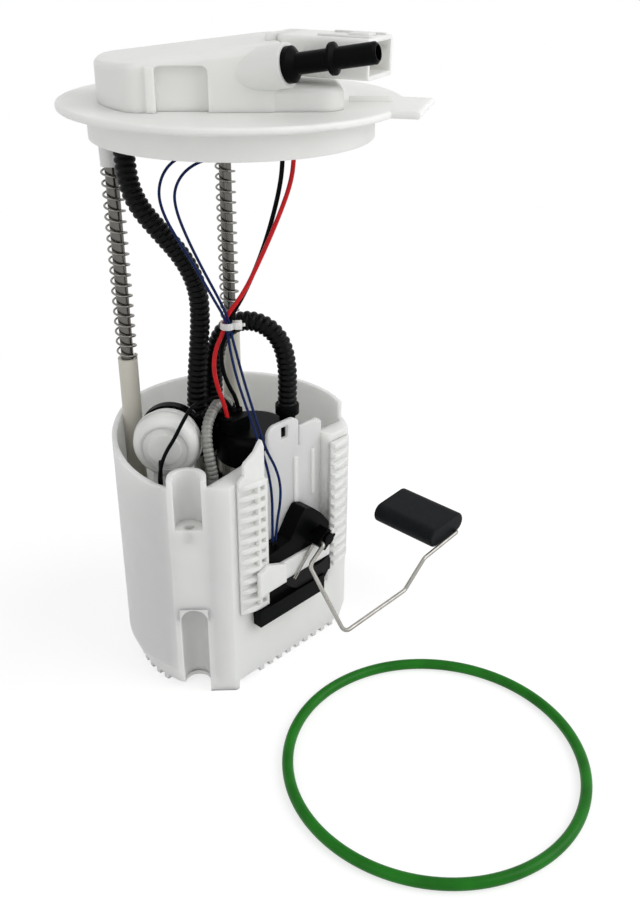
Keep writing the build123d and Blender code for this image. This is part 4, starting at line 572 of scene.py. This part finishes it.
def ribbed_tree():
    """Tube along a curve whose wall swells into ribs, each a round back between narrow grooves."""
    sizes = [("Radius", "NodeSocketFloat"), ("Pitch", "NodeSocketFloat"), ("Depth", "NodeSocketFloat"),
             ("Step", "NodeSocketFloat"), ("Sides", "NodeSocketInt"), ("Material", "NodeSocketMaterial")]
    tree, source, out = new_tree("ribbed_tube", sizes)
    resample = tree.nodes.new("GeometryNodeResampleCurve")
    resample.mode = "LENGTH"
    tree.links.new(source.outputs["Geometry"], resample.inputs["Curve"])
    tree.links.new(source.outputs["Step"], resample.inputs["Length"])
    along = tree.nodes.new("GeometryNodeSplineParameter").outputs["Length"]
    turn = maths(tree, "MULTIPLY", maths(tree, "DIVIDE", along, source.outputs["Pitch"]), math.pi)
    rib = maths(tree, "POWER", maths(tree, "ABSOLUTE", maths(tree, "SINE", turn)), RIB_ROUND)
    groove = maths(tree, "MULTIPLY", maths(tree, "SUBTRACT", 1.0, rib), source.outputs["Depth"])
    radius = maths(tree, "SUBTRACT", source.outputs["Radius"], groove)
    profile = tree.nodes.new("GeometryNodeCurvePrimitiveCircle")
    profile.inputs["Radius"].default_value = 1.0
    tree.links.new(source.outputs["Sides"], profile.inputs["Resolution"])
    skin = tree.nodes.new("GeometryNodeCurveToMesh")
    skin.inputs["Fill Caps"].default_value = True
    tree.links.new(resample.outputs["Curve"], skin.inputs["Curve"])
    tree.links.new(profile.outputs["Curve"], skin.inputs["Profile Curve"])
    tree.links.new(radius, skin.inputs["Scale"])
    finish_tree(tree, source, smoothed(tree, skin.outputs["Mesh"]), out)
    return tree


def spring_tree():
    """Round wire wound into a spring."""
    sizes = [("Turns", "NodeSocketFloat"), ("Coil", "NodeSocketFloat"), ("Height", "NodeSocketFloat"),
             ("Wire", "NodeSocketFloat"), ("Place", "NodeSocketVector"), ("Material", "NodeSocketMaterial")]
    tree, source, out = new_tree("wound_spring", sizes)
    coil = tree.nodes.new("GeometryNodeCurveSpiral")
    coil.inputs["Resolution"].default_value = COIL_STEPS
    tree.links.new(source.outputs["Turns"], coil.inputs["Rotations"])
    tree.links.new(source.outputs["Coil"], coil.inputs["Start Radius"])
    tree.links.new(source.outputs["Coil"], coil.inputs["End Radius"])
    tree.links.new(source.outputs["Height"], coil.inputs["Height"])
    place = tree.nodes.new("GeometryNodeSetPosition")
    tree.links.new(coil.outputs["Curve"], place.inputs["Geometry"])
    tree.links.new(source.outputs["Place"], place.inputs["Offset"])
    profile = tree.nodes.new("GeometryNodeCurvePrimitiveCircle")
    profile.inputs["Resolution"].default_value = WIRE_SIDES
    tree.links.new(source.outputs["Wire"], profile.inputs["Radius"])
    skin = tree.nodes.new("GeometryNodeCurveToMesh")
    skin.inputs["Fill Caps"].default_value = True
    tree.links.new(place.outputs["Geometry"], skin.inputs["Curve"])
    tree.links.new(profile.outputs["Curve"], skin.inputs["Profile Curve"])
    finish_tree(tree, source, smoothed(tree, skin.outputs["Mesh"]), out)
    return tree


def ring_tree():
    """Collar with rounded edges at every point of a mesh."""
    sizes = [("Radius", "NodeSocketFloat"), ("Wall", "NodeSocketFloat"), ("Height", "NodeSocketFloat"),
             ("Edge", "NodeSocketFloat"), ("Material", "NodeSocketMaterial")]
    tree, source, out = new_tree("collars", sizes)
    circle = tree.nodes.new("GeometryNodeCurvePrimitiveCircle")
    circle.inputs["Resolution"].default_value = COLLAR_SIDES
    tree.links.new(source.outputs["Radius"], circle.inputs["Radius"])
    section = tree.nodes.new("GeometryNodeCurvePrimitiveQuadrilateral")
    tree.links.new(source.outputs["Wall"], section.inputs["Width"])
    tree.links.new(source.outputs["Height"], section.inputs["Height"])
    rounded = tree.nodes.new("GeometryNodeFilletCurve")
    rounded.mode = "POLY"
    rounded.inputs["Count"].default_value = COLLAR_EDGE_STEPS
    tree.links.new(section.outputs["Curve"], rounded.inputs["Curve"])
    tree.links.new(source.outputs["Edge"], rounded.inputs["Radius"])
    skin = tree.nodes.new("GeometryNodeCurveToMesh")
    tree.links.new(circle.outputs["Curve"], skin.inputs["Curve"])
    tree.links.new(rounded.outputs["Curve"], skin.inputs["Profile Curve"])
    copies = tree.nodes.new("GeometryNodeInstanceOnPoints")
    tree.links.new(source.outputs["Geometry"], copies.inputs["Points"])
    tree.links.new(skin.outputs["Mesh"], copies.inputs["Instance"])
    finish_tree(tree, source, smoothed(tree, copies.outputs["Instances"]), out)
    return tree


def spoke_tree():
    """Thin upright ribs spread evenly round a circle, each along its radius."""
    sizes = [("Count", "NodeSocketInt"), ("Radius", "NodeSocketFloat"), ("Size", "NodeSocketVector"),
             ("Place", "NodeSocketVector"), ("Material", "NodeSocketMaterial")]
    tree, source, out = new_tree("spokes", sizes)
    circle = tree.nodes.new("GeometryNodeMeshCircle")
    tree.links.new(source.outputs["Count"], circle.inputs["Vertices"])
    tree.links.new(source.outputs["Radius"], circle.inputs["Radius"])
    spot = tree.nodes.new("GeometryNodeInputPosition").outputs["Position"]
    aim = tree.nodes.new("FunctionNodeAlignRotationToVector")
    aim.axis = "X"
    tree.links.new(spot, aim.inputs["Vector"])
    rib = tree.nodes.new("GeometryNodeMeshCube")
    tree.links.new(source.outputs["Size"], rib.inputs["Size"])
    copies = tree.nodes.new("GeometryNodeInstanceOnPoints")
    tree.links.new(circle.outputs["Mesh"], copies.inputs["Points"])
    tree.links.new(rib.outputs["Mesh"], copies.inputs["Instance"])
    tree.links.new(aim.outputs["Rotation"], copies.inputs["Rotation"])
    move = tree.nodes.new("GeometryNodeSetPosition")
    tree.links.new(copies.outputs["Instances"], move.inputs["Geometry"])
    tree.links.new(source.outputs["Place"], move.inputs["Offset"])
    finish_tree(tree, source, move.outputs["Geometry"], out)
    return tree


# Cords

def route_curve(name, route):
    """Smooth NURBS spline with the route's points as its control points."""
    data = bpy.data.curves.new(name, "CURVE")
    data.dimensions = "3D"
    data.resolution_u = CURVE_STEPS
    spline = data.splines.new("NURBS")
    spline.points.add(len(route) - 1)
    for point, place in zip(spline.points, route):
        point.co = (*at(*place), 1.0)
    spline.order_u = 3
    spline.use_endpoint_u = True
    return link(bpy.data.objects.new(name, data))


def route_points(curve):
    """Points along the spline itself."""
    mesh = evaluated_mesh(curve)
    points = [vertex.co.copy() for vertex in mesh.vertices]
    bpy.data.meshes.remove(mesh)
    return points


def bend_with_flange(piece):
    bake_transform(piece)


def make_cord(node, route, radius, pitch, depth, sides, material, stiffness, bend):
    """Hose or lead along its route, in its CAD node's place, ribbed where depth isn't nothing."""
    curve = route_curve(node + "_route", route)
    points = route_points(curve)
    piece = grow(node + "_skin", curve, ribbed_tree, {
        "Radius": radius, "Pitch": pitch, "Depth": depth, "Step": pitch / RIB_RINGS, "Sides": sides,
        "Material": FINISHES[material]})
    if bend:
        bend_with_flange(piece)
    else:
        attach(piece, "reservoir")
    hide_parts(node)


# Small shapes

def add_ring(bm, profile, place, turn=None):
    """Adds a turned ring about its own Z axis: its profile is a closed loop of radius and height."""
    lay = Matrix.Translation(place) @ (turn or Matrix())
    rows = []
    for index in range(RING_SIDES):
        angle = 2 * math.pi * index / RING_SIDES
        rows.append([bm.verts.new(lay @ Vector((radius * math.cos(angle), radius * math.sin(angle), height)))
                     for radius, height in profile])
    for row, beside in zip(rows, rows[1:] + rows[:1]):
        for index in range(len(profile)):
            after = (index + 1) % len(profile)
            bm.faces.new((row[index], beside[index], beside[after], row[after]))


def bead(inner, outer, low, high, lip):
    """Profile of a flat ring with softened corners, in metres from millimetres."""
    corners = [(inner, low + lip), (inner, high - lip), (inner + lip, high), (outer - lip, high),
               (outer, high - lip), (outer, low + lip), (outer - lip, low), (inner + lip, low)]
    return [(radius * MM, height * MM) for radius, height in corners]


def add_block(bm, place, size, edge, turn):
    """Adds a block with rounded edges, turned and put in its place. Its size and edge are in millimetres."""
    shape = bmesh.new()
    bmesh.ops.create_cube(shape, size=1.0)
    for vert in shape.verts:
        vert.co = Vector([c * length for c, length in zip(vert.co, metres(size))])
    bmesh.ops.bevel(shape, geom=shape.edges[:], offset=edge * MM, segments=BLOCK_EDGE_STEPS,
                    affect="EDGES", profile=0.5)
    shape.transform(Matrix.Translation(place) @ turn)
    mesh = bpy.data.meshes.new("block")
    shape.to_mesh(mesh)
    shape.free()
    bm.from_mesh(mesh)
    bpy.data.meshes.remove(mesh)


def add_slab(bm, front, depth):
    """Adds a slab: its front is a loop of points, and its back is that loop moved by the depth."""
    front = [bm.verts.new(point) for point in front]
    back = [bm.verts.new(vert.co + depth) for vert in front]
    bm.faces.new(front)
    bm.faces.new(back)
    for index in range(len(front)):
        after = (index + 1) % len(front)
        bm.faces.new((front[index], front[after], back[after], back[index]))


def keep_mesh(name, bm, material):
    """One object from the shapes, with smooth rounds and crisp edges."""
    bmesh.ops.recalc_face_normals(bm, faces=bm.faces[:])
    mesh = bpy.data.meshes.new(name)
    bm.to_mesh(mesh)
    bm.free()
    mesh.shade_smooth()
    mesh.set_sharp_from_angle(angle=SHARP_EDGE)
    mesh.materials.append(FINISHES[material])
    return link(bpy.data.objects.new(name, mesh))


def settle(piece, body):
    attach(piece, body)


def hung(places, size):
    """Places of collars of a size whose upper edges are at the given places."""
    return [(x, y, level - size[2]) for x, y, level in places]


def collars(name, places, size, body, material):
    """Like collars round several hose or lead ends, each resting on its place and standing upright."""
    radius, wall, height = size
    holder = spots([at(x, y, level + height / 2) for x, y, level in places])
    piece = grow(name, holder, ring_tree, {
        "Radius": (radius + wall / 2) * MM, "Wall": wall * MM, "Height": height * MM,
        "Edge": COLLAR_ROUND * wall * MM, "Material": FINISHES[material]})
    settle(piece, body)


class PUMP_OT_finishes(bpy.types.Operator):
    """Give every CAD node the procedural material of its slot, or one of its own"""
    bl_idname = "pump.finishes"
    bl_label = "Finishes"

    def execute(self, context):
        make_finishes(context.scene.pump_colours)
        for entry in frame["record"]["subparts"]:
            mesh = NODES[entry["node"]].data
            mesh.materials.clear()
            mesh.materials.append(FINISHES[OWN_FINISH.get(entry["node"], entry["material_slot"])])
        return {"FINISHED"}


class PUMP_OT_hoses(bpy.types.Operator):
    """Corrugated supply and pump hoses and the grey ribbed tube"""
    bl_idname = "pump.hoses"
    bl_label = "Hoses"

    def execute(self, context):
        sizes = context.scene.pump_cords
        hose = (sizes.hose_radius, sizes.hose_pitch, sizes.hose_depth, HOSE_SIDES, "hose_plastic", "stiff")
        make_cord("supply_hose", SUPPLY_ROUTE, *hose, HOSE_BEND)
        make_cord("pump_hose", PUMP_ROUTE, *hose, None)
        make_cord("jet_tube", JET_ROUTE, sizes.jet_radius, sizes.jet_pitch, sizes.jet_depth, TUBE_SIDES,
                  "clear_nylon", "stiff", None)
        return {"FINISHED"}


class PUMP_OT_leads(bpy.types.Operator):
    """Power and sender leads from the flange, and the bond lead"""
    bl_idname = "pump.leads"
    bl_label = "Leads"

    def execute(self, context):
        sizes = context.scene.pump_cords
        for node, route, radius, material, bend in (
                ("red_lead", RED_ROUTE, sizes.power_radius, "red_insulation", LEAD_BEND),
                ("black_lead", BLACK_ROUTE, sizes.power_radius, "black_insulation", LEAD_BEND),
                ("blue_lead_a", BLUE_A_ROUTE, sizes.sender_radius, "blue_insulation", LEAD_BEND),
                ("blue_lead_b", BLUE_B_ROUTE, sizes.sender_radius, "blue_insulation", LEAD_BEND),
                ("bond_lead", BOND_ROUTE, sizes.bond_radius, "black_insulation", None)):
            make_cord(node, route, radius, LEAD_PITCH * MM, 0.0, LEAD_SIDES, material, "medium", bend)
        return {"FINISHED"}


class PUMP_OT_lead_tie(bpy.types.Operator):
    """White tie round the leads, with its head and cut tail"""
    bl_idname = "pump.lead_tie"
    bl_label = "Lead tie"

    def execute(self, context):
        low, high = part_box("lead_tie")
        middle = at(*TIE_PLACE, 0)
        middle.z = (low.z + high.z) / 2
        way = Vector((math.cos(TIE_TURN), math.sin(TIE_TURN), 0.0))
        turn = Matrix.Rotation(TIE_TURN, 4, "Z")
        drop = turn @ Matrix.Rotation(TIE_TAIL_DROP, 4, "Y")
        bm = bmesh.new()
        add_ring(bm, bead(*TIE_BAND), middle)
        add_block(bm, middle + way * TIE_HEAD_REACH * MM, TIE_HEAD, TIE_HEAD_EDGE, turn)
        add_block(bm, middle + way * TIE_TAIL_REACH * MM, TIE_TAIL, TIE_TAIL_EDGE, drop)
        piece = keep_mesh("lead_tie_band", bm, "natural_acetal")
        bend_with_flange(piece)
        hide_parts("lead_tie")
        return {"FINISHED"}


class PUMP_OT_collars(bpy.types.Operator):
    """Collars and seals where the hoses, the tube and the leads end"""
    bl_idname = "pump.collars"
    bl_label = "Collars"

    def execute(self, context):
        hose_top = hung([SUPPLY_ROUTE[0]], HOSE_COLLAR)
        power_tops = hung([RED_ROUTE[0], BLACK_ROUTE[0]], PLUG_SEAL)
        sender_tops = hung([BLUE_A_ROUTE[0], BLUE_B_ROUTE[0]], PLUG_FINE_SEAL)
        hose_ends = [SUPPLY_ROUTE[-1], PUMP_ROUTE[0], PUMP_ROUTE[-1]]
        tube_ends = [JET_ROUTE[0], JET_ROUTE[-1]]
        power_ends = [RED_ROUTE[-1], BLACK_ROUTE[-1]]
        sender_ends = [BLUE_A_ROUTE[-1], BLUE_B_ROUTE[-1]]
        for name, places, size, body, material in (
                ("supply_hose_collar", hose_top, HOSE_COLLAR, "flange", "black_plastic"),
                ("hose_end_collars", hose_ends, HOSE_COLLAR, "reservoir", "black_plastic"),
                ("ribbed_tube_collars", tube_ends, TUBE_COLLAR, "reservoir", "black_plastic"),
                ("power_lead_seals", power_ends, POWER_SEAL, "reservoir", "black_rubber"),
                ("bond_lead_seal", [BOND_ROUTE[-1]], BOND_SEAL, "reservoir", "black_rubber"),
                ("sender_lead_seals", sender_ends, SENDER_SEAL, "reservoir", "black_rubber"),
                ("plug_lead_seals", power_tops, PLUG_SEAL, "flange", "black_rubber"),
                ("plug_fine_lead_seals", sender_tops, PLUG_FINE_SEAL, "flange", "black_rubber")):
            collars(name, places, size, body, material)
        return {"FINISHED"}


class PUMP_OT_springs(bpy.types.Operator):
    """Round-wire springs on the two guide rods"""
    bl_idname = "pump.springs"
    bl_label = "Springs"

    def execute(self, context):
        sizes = context.scene.pump_cords
        wire = sizes.spring_wire
        for node in ("spring_left", "spring_back"):
            low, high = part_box(node)
            middle = (low + high) / 2
            piece = grow(node + "_wire", spots(), spring_tree, {
                "Turns": float(sizes.spring_turns), "Coil": (high.x - low.x) / 2 - wire,
                "Height": high.z - low.z - 2 * wire, "Wire": wire,
                "Place": (middle.x, middle.y, low.z + wire), "Material": FINISHES["spring_steel"]})
            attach(piece, "reservoir")
            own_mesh(piece)
            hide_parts(node)
        return {"FINISHED"}


class PUMP_OT_flange_details(bpy.types.Operator):
    """Stiffening ribs under the disc, and the connector's latch ramp and guide ribs"""
    bl_idname = "pump.flange_details"
    bl_label = "Flange details"

    def execute(self, context):
        ribs = grow("disc_ribs", spots(), spoke_tree, {
            "Count": DISC_RIBS, "Radius": DISC_RIB_RADIUS * MM, "Size": metres(DISC_RIB_SIZE),
            "Place": (0.0, 0.0, DISC_RIB_LEVEL * MM), "Material": FINISHES["natural_acetal"]})
        settle(ribs, "flange")
        turn = Matrix.Rotation(PLUG_TURN, 4, "Z")
        root = Vector(metres(PLUG_ROOT))
        bm = bmesh.new()
        for along, across, rise, size in PLUG_RIBS:
            spot = root + turn.to_3x3() @ Vector(metres((along, across, rise)))
            add_block(bm, spot, size, PLUG_RIB_EDGE, turn)
        settle(keep_mesh("connector_ribs", bm, "natural_acetal"), "flange")
        return {"FINISHED"}


def make_rotor_stop():
    """White stop on the sender's rotor."""
    bm = bmesh.new()
    add_block(bm, at(*STOP_PLACE), STOP_SIZE, STOP_EDGE, Matrix.Rotation(STOP_LEAN, 4, "Y"))
    settle(keep_mesh("rotor_stop", bm, "natural_acetal"), "float_arm")


def make_wiper_fingers():
    """Wiper with two sprung fingers, in the CAD strip's place."""
    low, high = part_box("wiper")
    pivot = at(*PIVOT_PLACE)
    pivot.y = (low.y + high.y) / 2
    lean = Matrix.Rotation(WIPER_LEAN, 4, "Y")
    bm = bmesh.new()
    for start, end, across, width in WIPER_STRIPS:
        spot = pivot + lean.to_3x3() @ Vector(((start + end) / 2 * MM, 0.0, across * MM))
        add_block(bm, spot, (end - start, WIPER_THICK, width), WIPER_EDGE, lean)
    fingers = keep_mesh("wiper_fingers", bm, "steel")
    settle(fingers, "float_arm")
    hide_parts("wiper")


def make_bond_clip():
    """Brass clip of the bond lead on the filter's strap."""
    side = math.radians(DRUM_TURN - 90.0)
    bm = bmesh.new()
    for angle, length, thick in CLIP_PLATES:
        lift = math.radians(angle)
        reach = (STRAP_RADIUS + thick / 2) * MM
        out = Vector((math.cos(side) * math.cos(lift), math.sin(side) * math.cos(lift), math.sin(lift)))
        turn = Matrix.Rotation(side, 4, "Z") @ Matrix.Rotation(-lift, 4, "Y")
        add_block(bm, at(*DRUM_PLACE) + out * reach, (thick, CLIP_WIDTH, length), CLIP_EDGE, turn)
    settle(keep_mesh("bond_clip", bm, "terminal_brass"), "reservoir")


def make_filter_beads():
    """Raised beads round the filter drum and its end."""
    lay = Matrix.Rotation(math.radians(DRUM_TURN), 4, "Z") @ Matrix.Rotation(math.radians(90.0), 4, "Y")
    bm = bmesh.new()
    for inner, outer, low, high in DRUM_BEADS:
        add_ring(bm, bead(inner, outer, low, high, BEAD_LIP), at(*DRUM_PLACE), lay)
    settle(keep_mesh("filter_beads", bm, "natural_acetal"), "reservoir")


class PUMP_OT_sender_details(bpy.types.Operator):
    """The rotor's stop, the wiper's fingers, and the clip and beads on the filter"""
    bl_idname = "pump.sender_details"
    bl_label = "Sender and filter details"

    def execute(self, context):
        make_rotor_stop()
        make_wiper_fingers()
        make_bond_clip()
        make_filter_beads()
        return {"FINISHED"}


class PUMP_OT_pocket_arch(bpy.types.Operator):
    """Rounded top of the open groove under the front pocket"""
    bl_idname = "pump.pocket_arch"
    bl_label = "Pocket arch"

    def execute(self, context):
        way = Vector((-math.sin(CORNER_TURN), math.cos(CORNER_TURN), 0.0))
        inward = Vector((-math.cos(CORNER_TURN), -math.sin(CORNER_TURN), 0.0))
        middle = at(*CUP_MIDDLE, ARCH_TOP) - inward * CORNER_REACH * MM + way * POCKET_SIDE * MM
        face = middle - inward * ARCH_PROUD * MM
        radius = POCKET_RADIUS * MM
        lip = ARCH_LIP * MM
        arc = [math.pi * step / ARCH_STEPS for step in range(ARCH_STEPS + 1)]
        outline = [(-radius - lip, -radius), (-radius - lip, lip),
                   (radius + lip, lip), (radius + lip, -radius)]
        outline += [(radius * math.cos(a), radius * (math.sin(a) - 1.0)) for a in arc]
        bm = bmesh.new()
        add_slab(bm, [face + way * x + Vector((0.0, 0.0, z)) for x, z in outline], inward * ARCH_DEPTH * MM)
        settle(keep_mesh("pocket_arch", bm, "flush_acetal"), "reservoir")
        return {"FINISHED"}


# Stage

def see_rays(tree):
    """One where a camera, mirror or glass ray looks at the backdrop."""
    path = tree.nodes.new("ShaderNodeLightPath")
    first = maths(tree, "MAXIMUM", path.outputs["Is Camera Ray"], path.outputs["Is Glossy Ray"])
    return maths(tree, "MAXIMUM", first, path.outputs["Is Transmission Ray"])


def mix_shaders(tree, share, first, second, output):
    """Sends a mix of two shaders to the output, with a share of the second."""
    mix = tree.nodes.new("ShaderNodeMixShader")
    tree.links.new(share, mix.inputs["Fac"])
    tree.links.new(first, mix.inputs[1])
    tree.links.new(second, mix.inputs[2])
    tree.links.new(mix.outputs["Shader"], tree.nodes[output].inputs["Surface"])


def make_floor(settings):
    """Floor that stays nearly white and keeps the shadow."""
    mesh = bpy.data.meshes.new("floor")
    half = settings.floor_size / 2
    low = CAD_BOX[0].z
    mesh.from_pydata([(-half, -half, low), (half, -half, low), (half, half, low), (-half, half, low)], [],
                     [(0, 1, 2, 3)])
    floor = link(bpy.data.objects.new("floor", mesh))
    material, tree, shader = new_material("floor")
    shader.inputs["Base Color"].default_value = (FLOOR_TONE, FLOOR_TONE, FLOOR_TONE, 1.0)
    shader.inputs["Roughness"].default_value = FLOOR_ROUGHNESS
    coords = tree.nodes.new("ShaderNodeTexCoord")
    reach = tree.nodes.new("ShaderNodeVectorMath")
    reach.operation = "DISTANCE"
    reach.inputs[1].default_value = (*FLOOR_MIDDLE, low)
    tree.links.new(coords.outputs["Object"], reach.inputs[0])
    away = spread(tree, reach.outputs["Value"], 0.0, 1.0, (FLOOR_NEAR, FLOOR_FAR))
    white = tree.nodes.new("ShaderNodeEmission")
    tree.links.new(spread(tree, away, FLOOR_LIFT, 1.0, (0.0, 1.0)), white.inputs["Strength"])
    glow = spread(tree, away, FLOOR_GLOW, 1.0, (0.0, 1.0))
    share = maths(tree, "MULTIPLY", see_rays(tree), glow)
    mix_shaders(tree, share, shader.outputs["BSDF"], white.outputs["Emission"], "Material Output")
    mesh.materials.append(material)


def make_world(scene, settings):
    """Even light from all round, seen as white."""
    world = bpy.data.worlds.new("studio")
    world.use_nodes = True
    scene.world = world
    tree = world.node_tree
    light = tree.nodes["Background"]
    light.inputs["Strength"].default_value = settings.world_light
    seen = tree.nodes.new("ShaderNodeBackground")
    for background in (light, seen):
        background.inputs["Color"].default_value = (1.0, 1.0, 1.0, 1.0)
    mix_shaders(tree, see_rays(tree), light.outputs["Background"], seen.outputs["Background"], "World Output")


def make_lamp(name, power, place, target):
    """Square area lamp that faces a point."""
    data = bpy.data.lights.new(name, "AREA")
    data.energy = power
    data.shape = "SQUARE"
    data.size = LAMP_SIDE
    lamp = link(bpy.data.objects.new(name, data))
    lamp.location = place
    lamp.rotation_euler = (Vector(target) - Vector(place)).to_track_quat("-Z", "Y").to_euler()


def make_camera(scene):
    """The photograph's view."""
    camera = link(bpy.data.objects.new("camera", bpy.data.cameras.new("camera")))
    camera.location = CAMERA_PLACE
    camera.rotation_euler = [math.radians(angle) for angle in CAMERA_TURN]
    camera.data.lens = CAMERA_LENS
    camera.data.clip_start = CAMERA_NEAR
    scene.camera = camera


class PUMP_OT_stage(bpy.types.Operator):
    """Pale floor, soft lamps and the photograph's camera"""
    bl_idname = "pump.stage"
    bl_label = "Stage"

    def execute(self, context):
        scene = context.scene
        settings = scene.pump_stage
        scene.view_settings.view_transform = "Standard"
        make_floor(settings)
        make_world(scene, settings)
        make_lamp("key", settings.key_power, KEY_PLACE, KEY_TARGET)
        make_lamp("fill", settings.fill_power, FILL_PLACE, FILL_TARGET)
        make_camera(scene)
        return {"FINISHED"}


class PUMP_PT_panel(bpy.types.Panel):
    """Steps that dress the module"""
    bl_label = "Fuel pump module"
    bl_idname = "PUMP_PT_panel"
    bl_space_type = "VIEW_3D"
    bl_region_type = "UI"
    bl_category = "Pump"

    def draw(self, context):
        for step in STEPS:
            self.layout.operator(step.bl_idname)


STEPS = (PUMP_OT_finishes, PUMP_OT_hoses, PUMP_OT_leads, PUMP_OT_lead_tie, PUMP_OT_collars, PUMP_OT_springs,
         PUMP_OT_flange_details, PUMP_OT_sender_details, PUMP_OT_pocket_arch, PUMP_OT_stage)
GROUPS = {"pump_colours": FinishColours, "pump_cords": CordSizes, "pump_stage": StageSettings}
CLASSES = (*GROUPS.values(), *STEPS, PUMP_PT_panel)


def register():
    for cls in CLASSES:
        bpy.utils.register_class(cls)
    for name, group in GROUPS.items():
        setattr(bpy.types.Scene, name, bpy.props.PointerProperty(type=group))


def unregister():
    for name in GROUPS:
        delattr(bpy.types.Scene, name)
    for cls in reversed(CLASSES):
        bpy.utils.unregister_class(cls)


def main():
    register()
    for step in STEPS:
        group, name = step.bl_idname.split(".")
        getattr(getattr(bpy.ops, group), name)()


if __name__ == "__main__":
    main()
